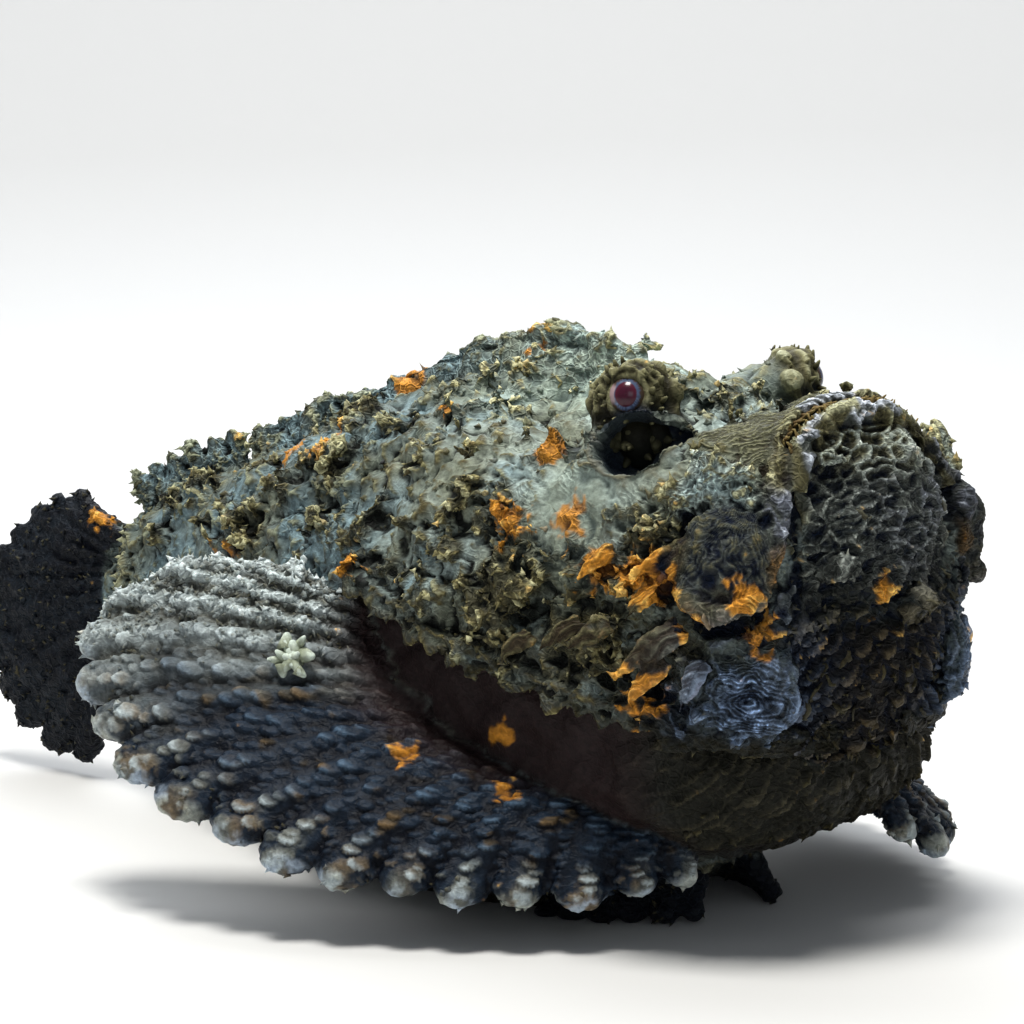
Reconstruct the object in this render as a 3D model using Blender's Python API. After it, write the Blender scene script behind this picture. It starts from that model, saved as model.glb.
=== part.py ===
"""A life-size reef stonefish at rest on a flat floor: belly down, head raised, fins spread.

The fish looks along +X, its left side is +Y and +Z is up. All lengths are in metres.
"""

import math
import random

import bmesh
import bpy
import numpy as np
from mathutils import Matrix, Vector, noise
from mathutils.bvhtree import BVHTree

# Driving sizes
GAP = 0.0003  # least clearance between neighbouring pieces
CUT = 0.0004  # width of the cuts that part the whole body
SIDES = (("right", -1), ("left", 1))

# Body outline by station: x, half width, lowest z, z of the widest place, highest z.
# Heights under 0 are pressed flat on the floor and make the belly's resting flat.
HEAD_STATIONS = (
    (0.1070, 0.012, 0.067, 0.075, 0.086),
    (0.1062, 0.021, 0.057, 0.073, 0.0955),
    (0.1035, 0.030, 0.045, 0.070, 0.1030),
    (0.0985, 0.0365, 0.034, 0.067, 0.1065),
    (0.0900, 0.0410, 0.026, 0.064, 0.1070),
    (0.0750, 0.0445, 0.018, 0.061, 0.1030),
    (0.0600, 0.0465, 0.011, 0.060, 0.1030),
    (0.0420, 0.0480, 0.004, 0.060, 0.1065),
    (0.0220, 0.0485, 0.002, 0.060, 0.1080),
    (0.0000, 0.0475, 0.002, 0.060, 0.1060),
    (-0.0120, 0.0450, 0.002, 0.058, 0.1025),
)
TRUNK_STATIONS = (
    (0.1000, 0.017, 0.033, 0.039, 0.046),
    (0.0960, 0.0275, 0.0275, 0.039, 0.056),
    (0.0860, 0.0345, 0.0205, 0.039, 0.070),
    (0.0660, 0.0385, 0.0110, 0.041, 0.085),
    (0.0450, 0.0410, 0.001, 0.043, 0.092),
    (0.0200, 0.0420, -0.006, 0.047, 0.1005),
    (0.0000, 0.0415, -0.006, 0.050, 0.1045),
    (-0.0270, 0.0350, -0.004, 0.051, 0.0960),
    (-0.0580, 0.0240, 0.008, 0.051, 0.0850),
    (-0.0900, 0.0140, 0.025, 0.050, 0.0730),
    (-0.1120, 0.0085, 0.034, 0.049, 0.0640),
    (-0.1200, 0.0070, 0.037, 0.049, 0.0610),
)
SIDE_POWER = 0.80  # under 1 makes a section boxier than an ellipse
TOP_POWER = 0.85
BELLY_POWER = 0.68

# Cuts that part the whole body, seen from the side (x, z) and from the front (y, z)
GILL_LINE = (
    (0.0060, 0.150),
    (0.0060, 0.0675),
    (0.0220, 0.0620),
    (0.0410, 0.0560),
    (0.0660, 0.0505),
    (0.0870, 0.0465),
    (0.1040, 0.0400),
    (0.1300, 0.0340),
)
COVER_LINE = ((0.0560, 0.095), (0.0640, 0.080), (0.0610, 0.064), (0.0500, 0.030))
COVER_DEPTH = 0.012  # how far a gill cover reaches into the side of the head
COVER_TOP = 0.086
TAIL_CUT_X = -0.0760
JAW_HALF = (
    (0.0000, 0.1035),
    (0.0100, 0.1018),
    (0.0165, 0.0960),
    (0.0195, 0.0870),
    (0.0190, 0.0690),
    (0.0265, 0.0600),
    (0.0330, 0.0500),
    (0.0330, 0.0300),
)
JAW_BACK_X = 0.0800

# Soft relief of the whole body: x, distance from the middle, z, radius, height.
RELIEF = (
    (0.1070, 0.000, 0.078, 0.018, 0.0035),  # bulge of the lower jaw
    (0.0970, 0.033, 0.081, 0.012, 0.0025),  # end of the upper jaw
    (0.1010, 0.029, 0.052, 0.012, 0.0035),  # knob at the jaw's corner
    (0.0880, 0.014, 0.106, 0.011, 0.0030),  # snout
    (0.0715, 0.0300, 0.0960, 0.010, -0.0085),  # pit below the eye
    (0.0640, 0.000, 0.103, 0.012, -0.0060),  # hollow between the eyes
    (0.0480, 0.000, 0.107, 0.009, -0.0040),  # pit behind it
    (0.0470, 0.023, 0.107, 0.011, 0.0065),  # ridge behind the eye
    (0.0290, 0.018, 0.110, 0.012, 0.0075),  # nape knob
    (0.0860, 0.043, 0.058, 0.008, 0.0050),  # cheek knobs
    (0.0730, 0.045, 0.063, 0.008, 0.0050),
    (0.0560, 0.047, 0.070, 0.009, 0.0035),
    (0.0400, 0.046, 0.082, 0.009, 0.0030),
    (0.0120, 0.047, 0.069, 0.010, 0.0030),  # rear corner of the gill cover
    (-0.0200, 0.030, 0.080, 0.012, 0.0030),  # lumps on the flank
    (-0.0500, 0.022, 0.065, 0.011, 0.0025),
)
ROUGHNESS = 0.0016  # height of the coarse lumps all over the skin
LUMP_SIZE = 0.0085
FLAT_SKIN_Z = 0.0015  # skin this low is pressed flat on the floor

# Eyes
EYE_PLACE = (0.0650, 0.0258, 0.1068)
EYE_RADIUS = 0.0041
EYE_FACING = Vector((0.50, 0.82, 0.20)).normalized()
TURRET_RADIUS = 0.0078
TURRET_DEPTH = 0.014

# Fins. A base and a tip line are control points from the first ray to the last.
PECTORAL_BASE = (
    (0.0800, 0.012, 0.0240),
    (0.0660, 0.026, 0.0270),
    (0.0500, 0.034, 0.0300),
    (0.0340, 0.037, 0.0350),
    (0.0220, 0.038, 0.0420),
    (0.0120, 0.038, 0.0520),
    (0.0060, 0.037, 0.0600),
)
RIGHT_PECTORAL_TIPS = (
    (0.0800, -0.021, 0.0140),
    (0.0740, -0.036, 0.0100),
    (0.0600, -0.053, 0.0090),
    (0.0430, -0.066, 0.0100),
    (0.0240, -0.077, 0.0140),
    (0.0020, -0.083, 0.0210),
    (-0.0220, -0.084, 0.0310),
    (-0.0380, -0.080, 0.0440),
    (-0.0400, -0.071, 0.0590),
    (-0.0250, -0.059, 0.0670),
    (-0.0100, -0.050, 0.0630),
)
LEFT_PECTORAL_TIPS = (
    (0.0880, 0.029, 0.0150),
    (0.0870, 0.046, 0.0090),
    (0.0750, 0.061, 0.0085),
    (0.0570, 0.073, 0.0100),
    (0.0370, 0.081, 0.0140),
    (0.0140, 0.085, 0.0210),
    (-0.0110, 0.085, 0.0310),
    (-0.0290, 0.079, 0.0440),
    (-0.0320, 0.070, 0.0580),
    (-0.0190, 0.058, 0.0670),
    (-0.0080, 0.050, 0.0630),
)

DORSAL_BASE = (
    (0.0440, 0.0, 0.0995),
    (0.0220, 0.0, 0.1035),
    (0.0000, 0.0, 0.0990),
    (-0.0300, 0.0, 0.0900),
    (-0.0600, 0.0, 0.0785),
    (-0.0715, 0.0, 0.0740),
)
DORSAL_TIPS = (
    (0.0450, 0.0, 0.1150),
    (0.0240, 0.0, 0.1190),
    (-0.0010, 0.0, 0.1145),
    (-0.0300, 0.0, 0.1040),
    (-0.0620, 0.0, 0.0935),
    (-0.0755, 0.0, 0.0885),
)
SOFT_BASE = ((-0.0745, 0.0, 0.0700), (-0.0900, 0.0, 0.0640), (-0.1060, 0.0, 0.0580))
SOFT_TIPS = ((-0.0810, 0.0, 0.0880), (-0.1010, 0.0, 0.0825), (-0.1180, 0.0, 0.0730))
ANAL_BASE = ((-0.0500, 0.0, 0.0140), (-0.0700, 0.0, 0.0230), (-0.0920, 0.0, 0.0320))
ANAL_TIPS = ((-0.0560, 0.0, 0.0008), (-0.0800, 0.0, 0.0008), (-0.1080, 0.0, 0.0080))
CAUDAL_BASE = ((-0.1120, 0.0, 0.0380), (-0.1140, 0.0, 0.0490), (-0.1120, 0.0, 0.0600))
CAUDAL_TIPS = (
    (-0.1330, 0.0, 0.0010),
    (-0.1560, -0.003, 0.0090),
    (-0.1670, -0.006, 0.0280),
    (-0.1660, -0.006, 0.0480),
    (-0.1500, -0.003, 0.0630),
    (-0.1340, 0.0, 0.0680),
)
PELVIC_BASE = ((0.0680, 0.005, 0.0170), (0.0540, 0.009, 0.0110), (0.0420, 0.012, 0.0070))
PELVIC_TIPS = ((0.0720, 0.011, 0.0008), (0.0580, 0.023, 0.0008), (0.0410, 0.029, 0.0008))

# Each fin's rays, rows along a ray, half thickness at root and tip, notch, ridge and knobs
FINS = {
    "pectoral": (18, 5, (0.0030, 0.0017), 0.085, 0.50, 0.16),
    "pelvic": (6, 3, (0.0026, 0.0015), 0.070, 0.40, 0.0),
    "spiny_dorsal": (13, 3, (0.0042, 0.0016), 0.420, 0.50, 0.15),
    "soft_dorsal": (6, 3, (0.0030, 0.0013), 0.120, 0.50, 0.0),
    "anal": (8, 3, (0.0030, 0.0014), 0.100, 0.50, 0.0),
    "caudal": (12, 4, (0.0036, 0.0013), 0.070, 0.50, 0.0),
}
PECTORAL_SWELL = (-0.001, 0.0045, 0.0045)
CAUDAL_SWELL = (0.0, -0.0040, 0.0)
RAY_STRETCH = 0.03  # how far neighbouring rays differ in length
BLUNT_MARGIN = 0.35  # share of the thickness that is rounded off at a fin's margin

# Spines of the cheek: place, direction, radius, height
CHEEK_SPINES = (
    ((0.0860, 0.0430, 0.0575), (0.10, 1.0, -0.75), 0.0035, 0.0085),
    ((0.0735, 0.0455, 0.0620), (-0.25, 1.0, -0.60), 0.0036, 0.0090),
    ((0.0960, 0.0370, 0.0560), (0.45, 0.9, -0.60), 0.0030, 0.0060),
    ((0.0790, 0.0430, 0.0760), (0.15, 1.0, 0.10), 0.0032, 0.0055),
    ((0.0690, 0.0455, 0.0740), (-0.10, 1.0, -0.10), 0.0030, 0.0050),
)
JAW_END_PLACE = (0.0960, 0.0312, 0.0790)
JAW_END_SIZE = (0.0055, 0.0080, 0.0120)
JAW_END_TURN = math.radians(38)
NOSTRIL_PLACE = (0.0830, 0.0150)
NOSTRIL_RADIUS = 0.0015
NOSTRIL_HEIGHT = 0.0032
NOSTRIL_BORE = 0.0005

# Lips and their fringes, beside the mouth's line
LIP_OFFSET = 0.0026
LIP_END_RADIUS = 0.0012
LIP_SWELLING = 0.0013
MOUTH_STEPS = 19
FRINGE_RADIUS = 0.0009
FRINGE_LENGTH = 0.0036
CHIN_ROWS = ((0.066, 0.0156, 5), (0.058, 0.0193, 6), (0.050, 0.0230, 5))  # z, half width, flaps
CHIN_FLAP_RADIUS = 0.0026
CHIN_FLAP_LENGTH = 0.0042

COVER_FLAPS = 7
COVER_FLAP_RADIUS = 0.0021
COVER_FLAP_LENGTH = 0.0050
COVER_SIDE = 0.0475

HEAD_WARTS = 30
TRUNK_WARTS = 22
WART_RADIUS = (0.0022, 0.0036)
WART_SPACING = 2.4  # in radii
CLEAR_OF_EYE = 0.016

FAR = 0.30  # past every side of the body, for the blocks that cut it
MERGE = 1e-6


def clear_scene():
    for obj in list(bpy.data.objects):
        bpy.data.objects.remove(obj)


def material(name, colour, roughness=0.75):
    made = bpy.data.materials.new(name)
    made.use_nodes = True
    shader = made.node_tree.nodes["Principled BSDF"]
    shader.inputs["Base Color"].default_value = (*colour, 1.0)
    shader.inputs["Roughness"].default_value = roughness
    shader.inputs["Metallic"].default_value = 0.0
    return made


def mesh_object(name, points, faces, finish=None):
    mesh = bpy.data.meshes.new(name)
    mesh.from_pydata([tuple(p) for p in points], [], faces)
    mesh.update()
    obj = bpy.data.objects.new(name, mesh)
    bpy.context.scene.collection.objects.link(obj)
    if finish:
        mesh.materials.append(finish)
    return obj


def spline(points, place):
    """The point at place, from 0 to 1, on a Catmull-Rom curve through the points."""
    last = len(points) - 1
    at = min(max(place, 0.0), 1.0) * last
    i = min(int(at), last - 1)
    u = at - i
    a, b, c, d = (
        np.array(points[min(max(k, 0), last)]) for k in (i - 1, i, i + 1, i + 2)
    )
    return 0.5 * (
        2 * b + (c - a) * u + (2 * a - 5 * b + 4 * c - d) * u**2
        + (3 * b - 3 * c + d - a) * u**3
    )


def section_point(station, angle):
    """A point of the skin at this station, with the angle counted from the back."""
    x, half_width, low, middle, high = station
    side, up = math.sin(angle), math.cos(angle)
    y = half_width * math.copysign(abs(side) ** SIDE_POWER, side)
    if up > 0:
        z = middle + (high - middle) * up**TOP_POWER
    else:
        z = middle - (middle - low) * (-up) ** BELLY_POWER
    return Vector((x, y, max(z, 0.0)))


def relief(point):
    """How far the skin stands out at this point: the named knobs and pits, then coarse lumps."""
    height = 0.0
    for x, side, z, radius, rise in RELIEF:
        away = (point - Vector((x, math.copysign(side, point.y), z))).length_squared
        height += rise * math.exp(-away / radius**2)
    lump = noise.noise(point / LUMP_SIZE) + 0.5 * noise.noise(point / LUMP_SIZE * 2.1)
    return height + ROUGHNESS * lump


def loft(name, stations, rings, spokes):
    """A closed body through the stations, with its relief raised along the normals."""
    points = [
        section_point(spline(stations, i / (rings - 1)), 2 * math.pi * j / spokes)
        for i in range(rings)
        for j in range(spokes)
    ]
    faces = [
        (
            i * spokes + j,
            (i + 1) * spokes + j,
            (i + 1) * spokes + (j + 1) % spokes,
            i * spokes + (j + 1) % spokes,
        )
        for i in range(rings - 1)
        for j in range(spokes)
    ]
    for ring, flip in ((0, False), (rings - 1, True)):
        rim = [ring * spokes + j for j in range(spokes)]
        middle = len(points)
        points.append(sum((points[k] for k in rim), Vector()) / spokes)
        for j in range(spokes):
            pair = (rim[j], rim[(j + 1) % spokes])
            faces.append((middle, *(reversed(pair) if flip else pair)))
    obj = mesh_object(name, points, faces)
    face_out(obj)
    moved = [v.co + v.normal * relief(v.co) for v in obj.data.vertices]
    for vertex, place in zip(obj.data.vertices, moved):
        low = vertex.co.z < FLAT_SKIN_Z
        vertex.co = place
        vertex.co.z = 0.0 if low else max(place.z, 0.0)
    return obj


def face_out(obj):
    """Triangulates and turns every face outwards."""
    work = bmesh.new()
    work.from_mesh(obj.data)
    bmesh.ops.recalc_face_normals(work, faces=work.faces)
    if work.calc_volume(signed=True) < 0:
        bmesh.ops.reverse_faces(work, faces=work.faces)
    bmesh.ops.triangulate(work, faces=work.faces)
    work.to_mesh(obj.data)
    work.free()
    obj.data.update()


def boolean(obj, operation, cutter=None, collection=None, solver="MANIFOLD"):
    modifier = obj.modifiers.new("cut", "BOOLEAN")
    modifier.operation = operation
    modifier.solver = solver
    if collection:
        modifier.operand_type = "COLLECTION"
        modifier.collection = collection
    else:
        modifier.object = cutter
    graph = bpy.context.evaluated_depsgraph_get()
    made = bpy.data.meshes.new_from_object(obj.evaluated_get(graph))
    obj.modifiers.clear()
    obj.data = made
    return obj


def copy_of(obj, name):
    made = obj.copy()
    made.data = obj.data.copy()
    made.name = name
    bpy.context.scene.collection.objects.link(made)
    return made


def remove(*objects):
    for obj in objects:
        bpy.data.objects.remove(obj)


def keep_largest(obj):
    """Drops every loose scrap and sealed hollow and keeps the largest closed surface."""
    work = bmesh.new()
    work.from_mesh(obj.data)
    bmesh.ops.remove_doubles(work, verts=work.verts, dist=MERGE)
    bmesh.ops.dissolve_degenerate(work, edges=work.edges, dist=MERGE)
    bmesh.ops.triangulate(work, faces=work.faces)
    left = set(work.faces)
    groups = []
    while left:
        group, front = set(), [left.pop()]
        while front:
            face = front.pop()
            group.add(face)
            for edge in face.edges:
                for other in edge.link_faces:
                    if other in left:
                        left.discard(other)
                        front.append(other)
        groups.append(group)
    best = max(groups, key=lambda g: sum(f.calc_area() for f in g))
    bmesh.ops.delete(work, geom=[f for f in work.faces if f not in best], context="FACES")
    loose = [v for v in work.verts if not v.link_faces]
    bmesh.ops.delete(work, geom=loose, context="VERTS")
    work.to_mesh(obj.data)
    work.free()
    obj.data.update()
    return obj


def fuse(obj, pieces):
    """Joins rooted pieces to a node in one union."""
    if not pieces:
        return obj
    group = bpy.data.collections.new(obj.name + "_pieces")
    bpy.context.scene.collection.children.link(group)
    for piece in pieces:
        face_out(piece)
        for held in list(piece.users_collection):
            held.objects.unlink(piece)
        group.objects.link(piece)
    boolean(obj, "UNION", collection=group)
    remove(*pieces)
    bpy.data.collections.remove(group)
    return keep_largest(obj)


def prism(name, outline, axis, low, high):
    """An outline given in (x, z) or (y, z), drawn out along the other axis from low to high."""
    def placed(a, b, along):
        return (a, along, b) if axis == "Y" else (along, a, b)

    count = len(outline)
    points = [placed(a, b, low) for a, b in outline] + [placed(a, b, high) for a, b in outline]
    faces = [tuple(range(count)), tuple(range(count, 2 * count))]
    faces += [(k, (k + 1) % count, count + (k + 1) % count, count + k) for k in range(count)]
    obj = mesh_object(name, points, faces)
    face_out(obj)
    return obj


def grown(obj, distance):
    """A cutter: a copy of the node with its skin moved outwards."""
    made = copy_of(obj, obj.name + "_grown")
    for vertex, place in zip(
        made.data.vertices, [v.co + v.normal * distance for v in obj.data.vertices]
    ):
        vertex.co = place
    return made


def trim_by(obj, nodes):
    """Cuts a node clear of those that it grows from, by the standard gap."""
    for node in nodes:
        cutter = grown(node, GAP)
        boolean(obj, "DIFFERENCE", cutter)
        remove(cutter)
    return keep_largest(obj)


def surface_of(obj):
    return BVHTree.FromPolygons(
        [v.co for v in obj.data.vertices], [p.vertices for p in obj.data.polygons]
    )


def spike(place, direction, radius, height, sides=5, shoulder=0.62, bluntness=0.28, sunk=0.6):
    """A tapered, slightly blunt spike, flap or wart, rooted below the skin."""
    direction = direction.normalized()
    turn = direction.to_track_quat("Z", "Y").to_matrix()
    levels = ((-sunk * height, 1.0), (height * 0.45, shoulder), (height, bluntness))
    points = [
        place + turn @ Vector((
            radius * wide * math.cos(2 * math.pi * k / sides),
            radius * wide * math.sin(2 * math.pi * k / sides),
            level,
        ))
        for level, wide in levels
        for k in range(sides)
    ]
    faces = [
        (
            row * sides + k,
            row * sides + (k + 1) % sides,
            (row + 1) * sides + (k + 1) % sides,
            (row + 1) * sides + k,
        )
        for row in range(len(levels) - 1)
        for k in range(sides)
    ]
    faces.append(tuple(range(sides - 1, -1, -1)))
    faces.append(tuple(range((len(levels) - 1) * sides, len(levels) * sides)))
    return mesh_object("spike", points, faces)


def tube(path, radii, sides=6):
    """A round rope of flesh along a path, such as a lip."""
    points, faces = [], []
    for i, place in enumerate(path):
        along = (path[min(i + 1, len(path) - 1)] - path[max(i - 1, 0)]).normalized()
        turn = along.to_track_quat("Z", "Y").to_matrix()
        points += [
            place + turn @ Vector((
                radii[i] * math.cos(2 * math.pi * k / sides),
                radii[i] * math.sin(2 * math.pi * k / sides),
                0,
            ))
            for k in range(sides)
        ]
    for i in range(len(path) - 1):
        for k in range(sides):
            after = (k + 1) % sides
            faces.append((
                i * sides + k, i * sides + after, (i + 1) * sides + after, (i + 1) * sides + k
            ))
    faces.append(tuple(range(sides)))
    faces.append(tuple(range((len(path) - 1) * sides, len(path) * sides)))
    return mesh_object("tube", points, faces)


def blob(place, size, turn=None, segments=10, rings=6):
    """A rounded lobe: a sphere squashed to the given half sizes."""
    work = bmesh.new()
    bmesh.ops.create_uvsphere(work, u_segments=segments, v_segments=rings, radius=1.0)
    mesh = bpy.data.meshes.new("blob")
    work.to_mesh(mesh)
    work.free()
    obj = bpy.data.objects.new("blob", mesh)
    bpy.context.scene.collection.objects.link(obj)
    shape = Matrix.Diagonal((*size, 1.0))
    mesh.transform(Matrix.Translation(place) @ (turn.to_4x4() if turn else Matrix()) @ shape)
    return obj


def warts_on(node, count, seed, allowed):
    """Warts scattered over a node where allowed says so, each clear of the others."""
    draw = random.Random(seed)
    mesh = node.data
    faces = [p for p in mesh.polygons if allowed(p.center, p.normal)]
    areas = [p.area for p in faces]
    made, places = [], []
    for _ in range(count * 12):
        if len(made) == count:
            break
        face = draw.choices(faces, areas)[0]
        radius = draw.uniform(*WART_RADIUS)
        if any((face.center - other).length < WART_SPACING * radius for other in places):
            continue
        places.append(face.center.copy())
        lean = Vector((-0.25, 0, draw.uniform(-0.1, 0.2)))
        height = radius * draw.uniform(0.9, 1.5)
        made.append(spike(face.center, face.normal + lean, radius, height))
    return made


def fin(name, kind, base, tips, seed, finish, swell=(0.0, 0.0, 0.0)):
    """A fleshy fin between a base line and a tip line.

    Each ray is a ridge two columns wide and each membrane one column, set back by notch at the
    margin. thick is the half thickness at the root and at the tip; both faces are split alike.
    """
    rays, rows, thick, notch, ridge, knobs = FINS[kind]
    swell = Vector(swell)
    draw = random.Random(seed)
    columns = []
    for ray in range(rays):
        stretch = 1.0 + draw.uniform(-RAY_STRETCH, RAY_STRETCH)
        columns.append((ray / rays, 1.0 - notch, 1.0))
        columns.append(((ray + 0.3) / rays, stretch, 1.0 + ridge))
        columns.append(((ray + 0.7) / rays, stretch, 1.0 + ridge))
    columns.append((1.0, 1.0 - notch, 1.0))
    grid, half = [], []
    for t, reach, stout in columns:
        root, tip = Vector(spline(base, t)), Vector(spline(tips, t))
        line = []
        for j in range(rows + 1):
            r = j / rows * reach
            line.append(root.lerp(tip, r) + swell * (4 * r * (1 - r)))
        grid.append(line)
        half.append([
            (thick[0] + (thick[1] - thick[0]) * j / rows)
            * (stout if j else 1.0)
            * (1.0 + knobs * draw.uniform(-1, 1) * (0 < j < rows))
            * (1.0 - BLUNT_MARGIN * (j == rows))
            for j in range(rows + 1)
        ])
    wide, deep = len(grid), rows + 1
    normals = []
    for i in range(wide):
        for j in range(deep):
            across = grid[min(i + 1, wide - 1)][j] - grid[max(i - 1, 0)][j]
            along = grid[i][min(j + 1, rows)] - grid[i][max(j - 1, 0)]
            normals.append(across.cross(along).normalized())
    top = [grid[i][j] + normals[i * deep + j] * half[i][j] for i in range(wide) for j in range(deep)]
    under = [grid[i][j] - normals[i * deep + j] * half[i][j] for i in range(wide) for j in range(deep)]
    points = [Vector((p.x, p.y, max(p.z, 0.0))) for p in top + under]
    shift, faces = wide * deep, []
    for i in range(wide - 1):
        for j in range(rows):
            a, b = i * deep + j, i * deep + j + 1
            c, d = a + deep, b + deep
            faces += [(a, b, d), (a, d, c)]
            faces += [(shift + a, shift + d, shift + b), (shift + a, shift + c, shift + d)]
    rim = [i * deep for i in range(wide)]
    rim += [(wide - 1) * deep + j for j in range(1, deep)]
    rim += [i * deep + rows for i in range(wide - 2, -1, -1)]
    rim += list(range(rows - 1, 0, -1))
    for a, b in zip(rim, rim[1:] + rim[:1]):
        faces += [(a, b, shift + b), (a, shift + b, shift + a)]
    obj = mesh_object(name, points, faces, finish)
    face_out(obj)
    return obj


def mirrored(points, side):
    return [(x, y * side, z) for x, y, z in points]


def mouth_path(surface, outset):
    """The mouth's line on the front of the head, moved outwards from the jaw's outline."""
    half = [Vector((y, z)) for y, z in JAW_HALF[:5]]
    line = [Vector((-p.x, p.y)) for p in reversed(half[1:])] + half
    middle = Vector((0, JAW_HALF[4][1] + 0.012))
    path = []
    for k in range(MOUTH_STEPS):
        y, z = spline([tuple(p) for p in line], k / (MOUTH_STEPS - 1))
        away = Vector((y, z)) - middle
        y, z = Vector((y, z)) + away.normalized() * outset
        hit = surface.ray_cast(Vector((FAR, y, z)), Vector((-1, 0, 0)))[0]
        if hit is None:
            hit = surface.find_nearest(Vector((JAW_BACK_X, y, z)))[0]
        path.append(hit)
    return path


def build_whole_head():
    """The head, gill covers and jaw with their forms, in one body above the gill line."""
    head = loft("head", HEAD_STATIONS, rings=24, spokes=42)
    skin = surface_of(head)
    pieces, holes = head_forms(skin)
    pieces += jaw_forms(skin)
    pieces += warts_on(head, HEAD_WARTS, 3, head_wart_place)
    fuse(head, pieces)
    for hole in holes:
        face_out(hole)
        boolean(head, "DIFFERENCE", hole)
        remove(hole)
    outline = [*GILL_LINE, (GILL_LINE[-1][0], GILL_LINE[0][1])]
    above = prism("above", outline, "Y", -FAR, FAR)
    boolean(head, "INTERSECT", above)
    remove(above)
    return keep_largest(head)


def slice_of(name, back_x, front_x):
    """A block that holds everything between two places along the body."""
    outline = [(back_x, -FAR), (front_x, -FAR), (front_x, FAR), (back_x, FAR)]
    return prism(name, outline, "Y", -FAR, FAR)


def build_body():
    """Trunk and tail, below and behind the gill line."""
    body = loft("trunk", TRUNK_STATIONS, rings=26, spokes=28)
    outline = [(x - CUT, z - CUT) for x, z in GILL_LINE]
    outline += [(GILL_LINE[-1][0], -FAR), (-FAR, -FAR), (-FAR, GILL_LINE[0][1])]
    below = prism("below", outline, "Y", -FAR, FAR)
    boolean(body, "INTERSECT", below)
    remove(below)
    keep_largest(body)
    tail = copy_of(body, "tail")
    front = slice_of("front", TAIL_CUT_X, FAR)
    back = slice_of("back", -FAR, TAIL_CUT_X - CUT)
    boolean(body, "INTERSECT", front)
    boolean(tail, "INTERSECT", back)
    remove(front, back)
    return keep_largest(body), keep_largest(tail)


def jaw_outline(gap):
    half = [(y + gap * (y > 0), z + gap) for y, z in JAW_HALF]
    return half + [(-y, z) for y, z in reversed(half[1:])]


def part_jaw(head):
    """Parts the lower jaw from the front of the head."""
    jaw = copy_of(head, "lower_jaw")
    block = prism("block", jaw_outline(0.0), "X", JAW_BACK_X, FAR)
    room = prism("room", jaw_outline(CUT), "X", JAW_BACK_X - CUT, FAR)
    boolean(jaw, "INTERSECT", block)
    boolean(head, "DIFFERENCE", room)
    remove(block, room)
    return keep_largest(jaw), keep_largest(head)


def part_gill_cover(head, name, side):
    """Parts one gill cover from the side of the head, along a curved line behind the cheek."""
    def slab(gap):
        outline = [(x + gap, z) for x, z in COVER_LINE]
        outline[0] = (outline[0][0], COVER_TOP + gap)
        outline = [(-FAR, COVER_TOP + gap)] + outline + [(-FAR, COVER_LINE[-1][1])]
        inner = side * (COVER_SIDE - COVER_DEPTH - gap)
        return prism("slab", outline, "Y", *sorted((inner, side * FAR)))

    cover = copy_of(head, name)
    inside, room = slab(0.0), slab(CUT)
    boolean(cover, "INTERSECT", inside)
    boolean(head, "DIFFERENCE", room)
    remove(inside, room)
    return keep_largest(cover), keep_largest(head)


def on_side(place, side):
    """A place or direction given for the left side, as a vector on either side."""
    return Vector((place[0], side * place[1], place[2]))


def turret(side):
    """The stalk that an eye sits on, spread into the skin round it, with its crown of flaps."""
    centre = on_side(EYE_PLACE, side)
    facing = on_side(EYE_FACING, side)
    root = centre - facing * TURRET_DEPTH - Vector((0, 0, 0.004))
    path = [root, root.lerp(centre, 0.55), centre - facing * 0.0012, centre + facing * 0.0016]
    radii = [TURRET_RADIUS * k for k in (1.25, 1.0, 0.86, 0.62)]
    pieces = [tube(path, radii, sides=10)]
    crown = facing.orthogonal()
    for k in range(7):
        out = Matrix.Rotation(2 * math.pi * k / 7, 3, facing) @ crown
        if out.z < -0.75:
            continue
        place = centre - facing * 0.001 + out * TURRET_RADIUS * 0.72
        pieces.append(spike(place, out + facing * 0.5, 0.0011, 0.0026, sides=4, bluntness=0.1))
    return pieces


def nostril(surface, side):
    """A short tube on the snout with an open end."""
    start = Vector((NOSTRIL_PLACE[0], side * NOSTRIL_PLACE[1], FAR))
    place, normal, _, _ = surface.ray_cast(start, Vector((0, 0, -1)))
    stem = spike(place, normal, NOSTRIL_RADIUS, NOSTRIL_HEIGHT, sides=6, shoulder=0.85,
                 bluntness=0.75, sunk=0.8)
    hole = spike(place + normal * (NOSTRIL_HEIGHT / 2), normal, NOSTRIL_BORE, NOSTRIL_HEIGHT,
                 sides=6, shoulder=1.2, bluntness=1.35, sunk=0.0)
    return stem, hole


def head_forms(surface):
    """The forms fused to the head: turrets, upper lip with its fringe, jaw ends, cheek spines."""
    pieces, holes = [], []
    for _, side in SIDES:
        pieces += turret(side)
        stem, hole = nostril(surface, side)
        pieces.append(stem)
        holes.append(hole)
        lean = Matrix.Rotation(side * JAW_END_TURN, 3, "Z")
        pieces.append(blob(on_side(JAW_END_PLACE, side), JAW_END_SIZE, lean, 9, 6))
        for place, way, radius, height in CHEEK_SPINES:
            spot = surface.find_nearest(on_side(place, side))[0]
            pieces.append(spike(spot, on_side(way, side), radius, height, bluntness=0.15))
    upper = mouth_path(surface, LIP_OFFSET)
    pieces.append(tube(upper, lip_radii()))
    for spot in upper[3:-3]:
        out = Vector((0.9, spot.y * 12, (spot.z - 0.085) * 20))
        pieces.append(spike(spot, out, FRINGE_RADIUS, FRINGE_LENGTH, sides=4, bluntness=0.15,
                            sunk=0.4))
    return pieces, holes


def lip_radii():
    last = MOUTH_STEPS - 1
    return [
        LIP_END_RADIUS + LIP_SWELLING * math.sin(math.pi * k / last) for k in range(last + 1)
    ]


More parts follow.
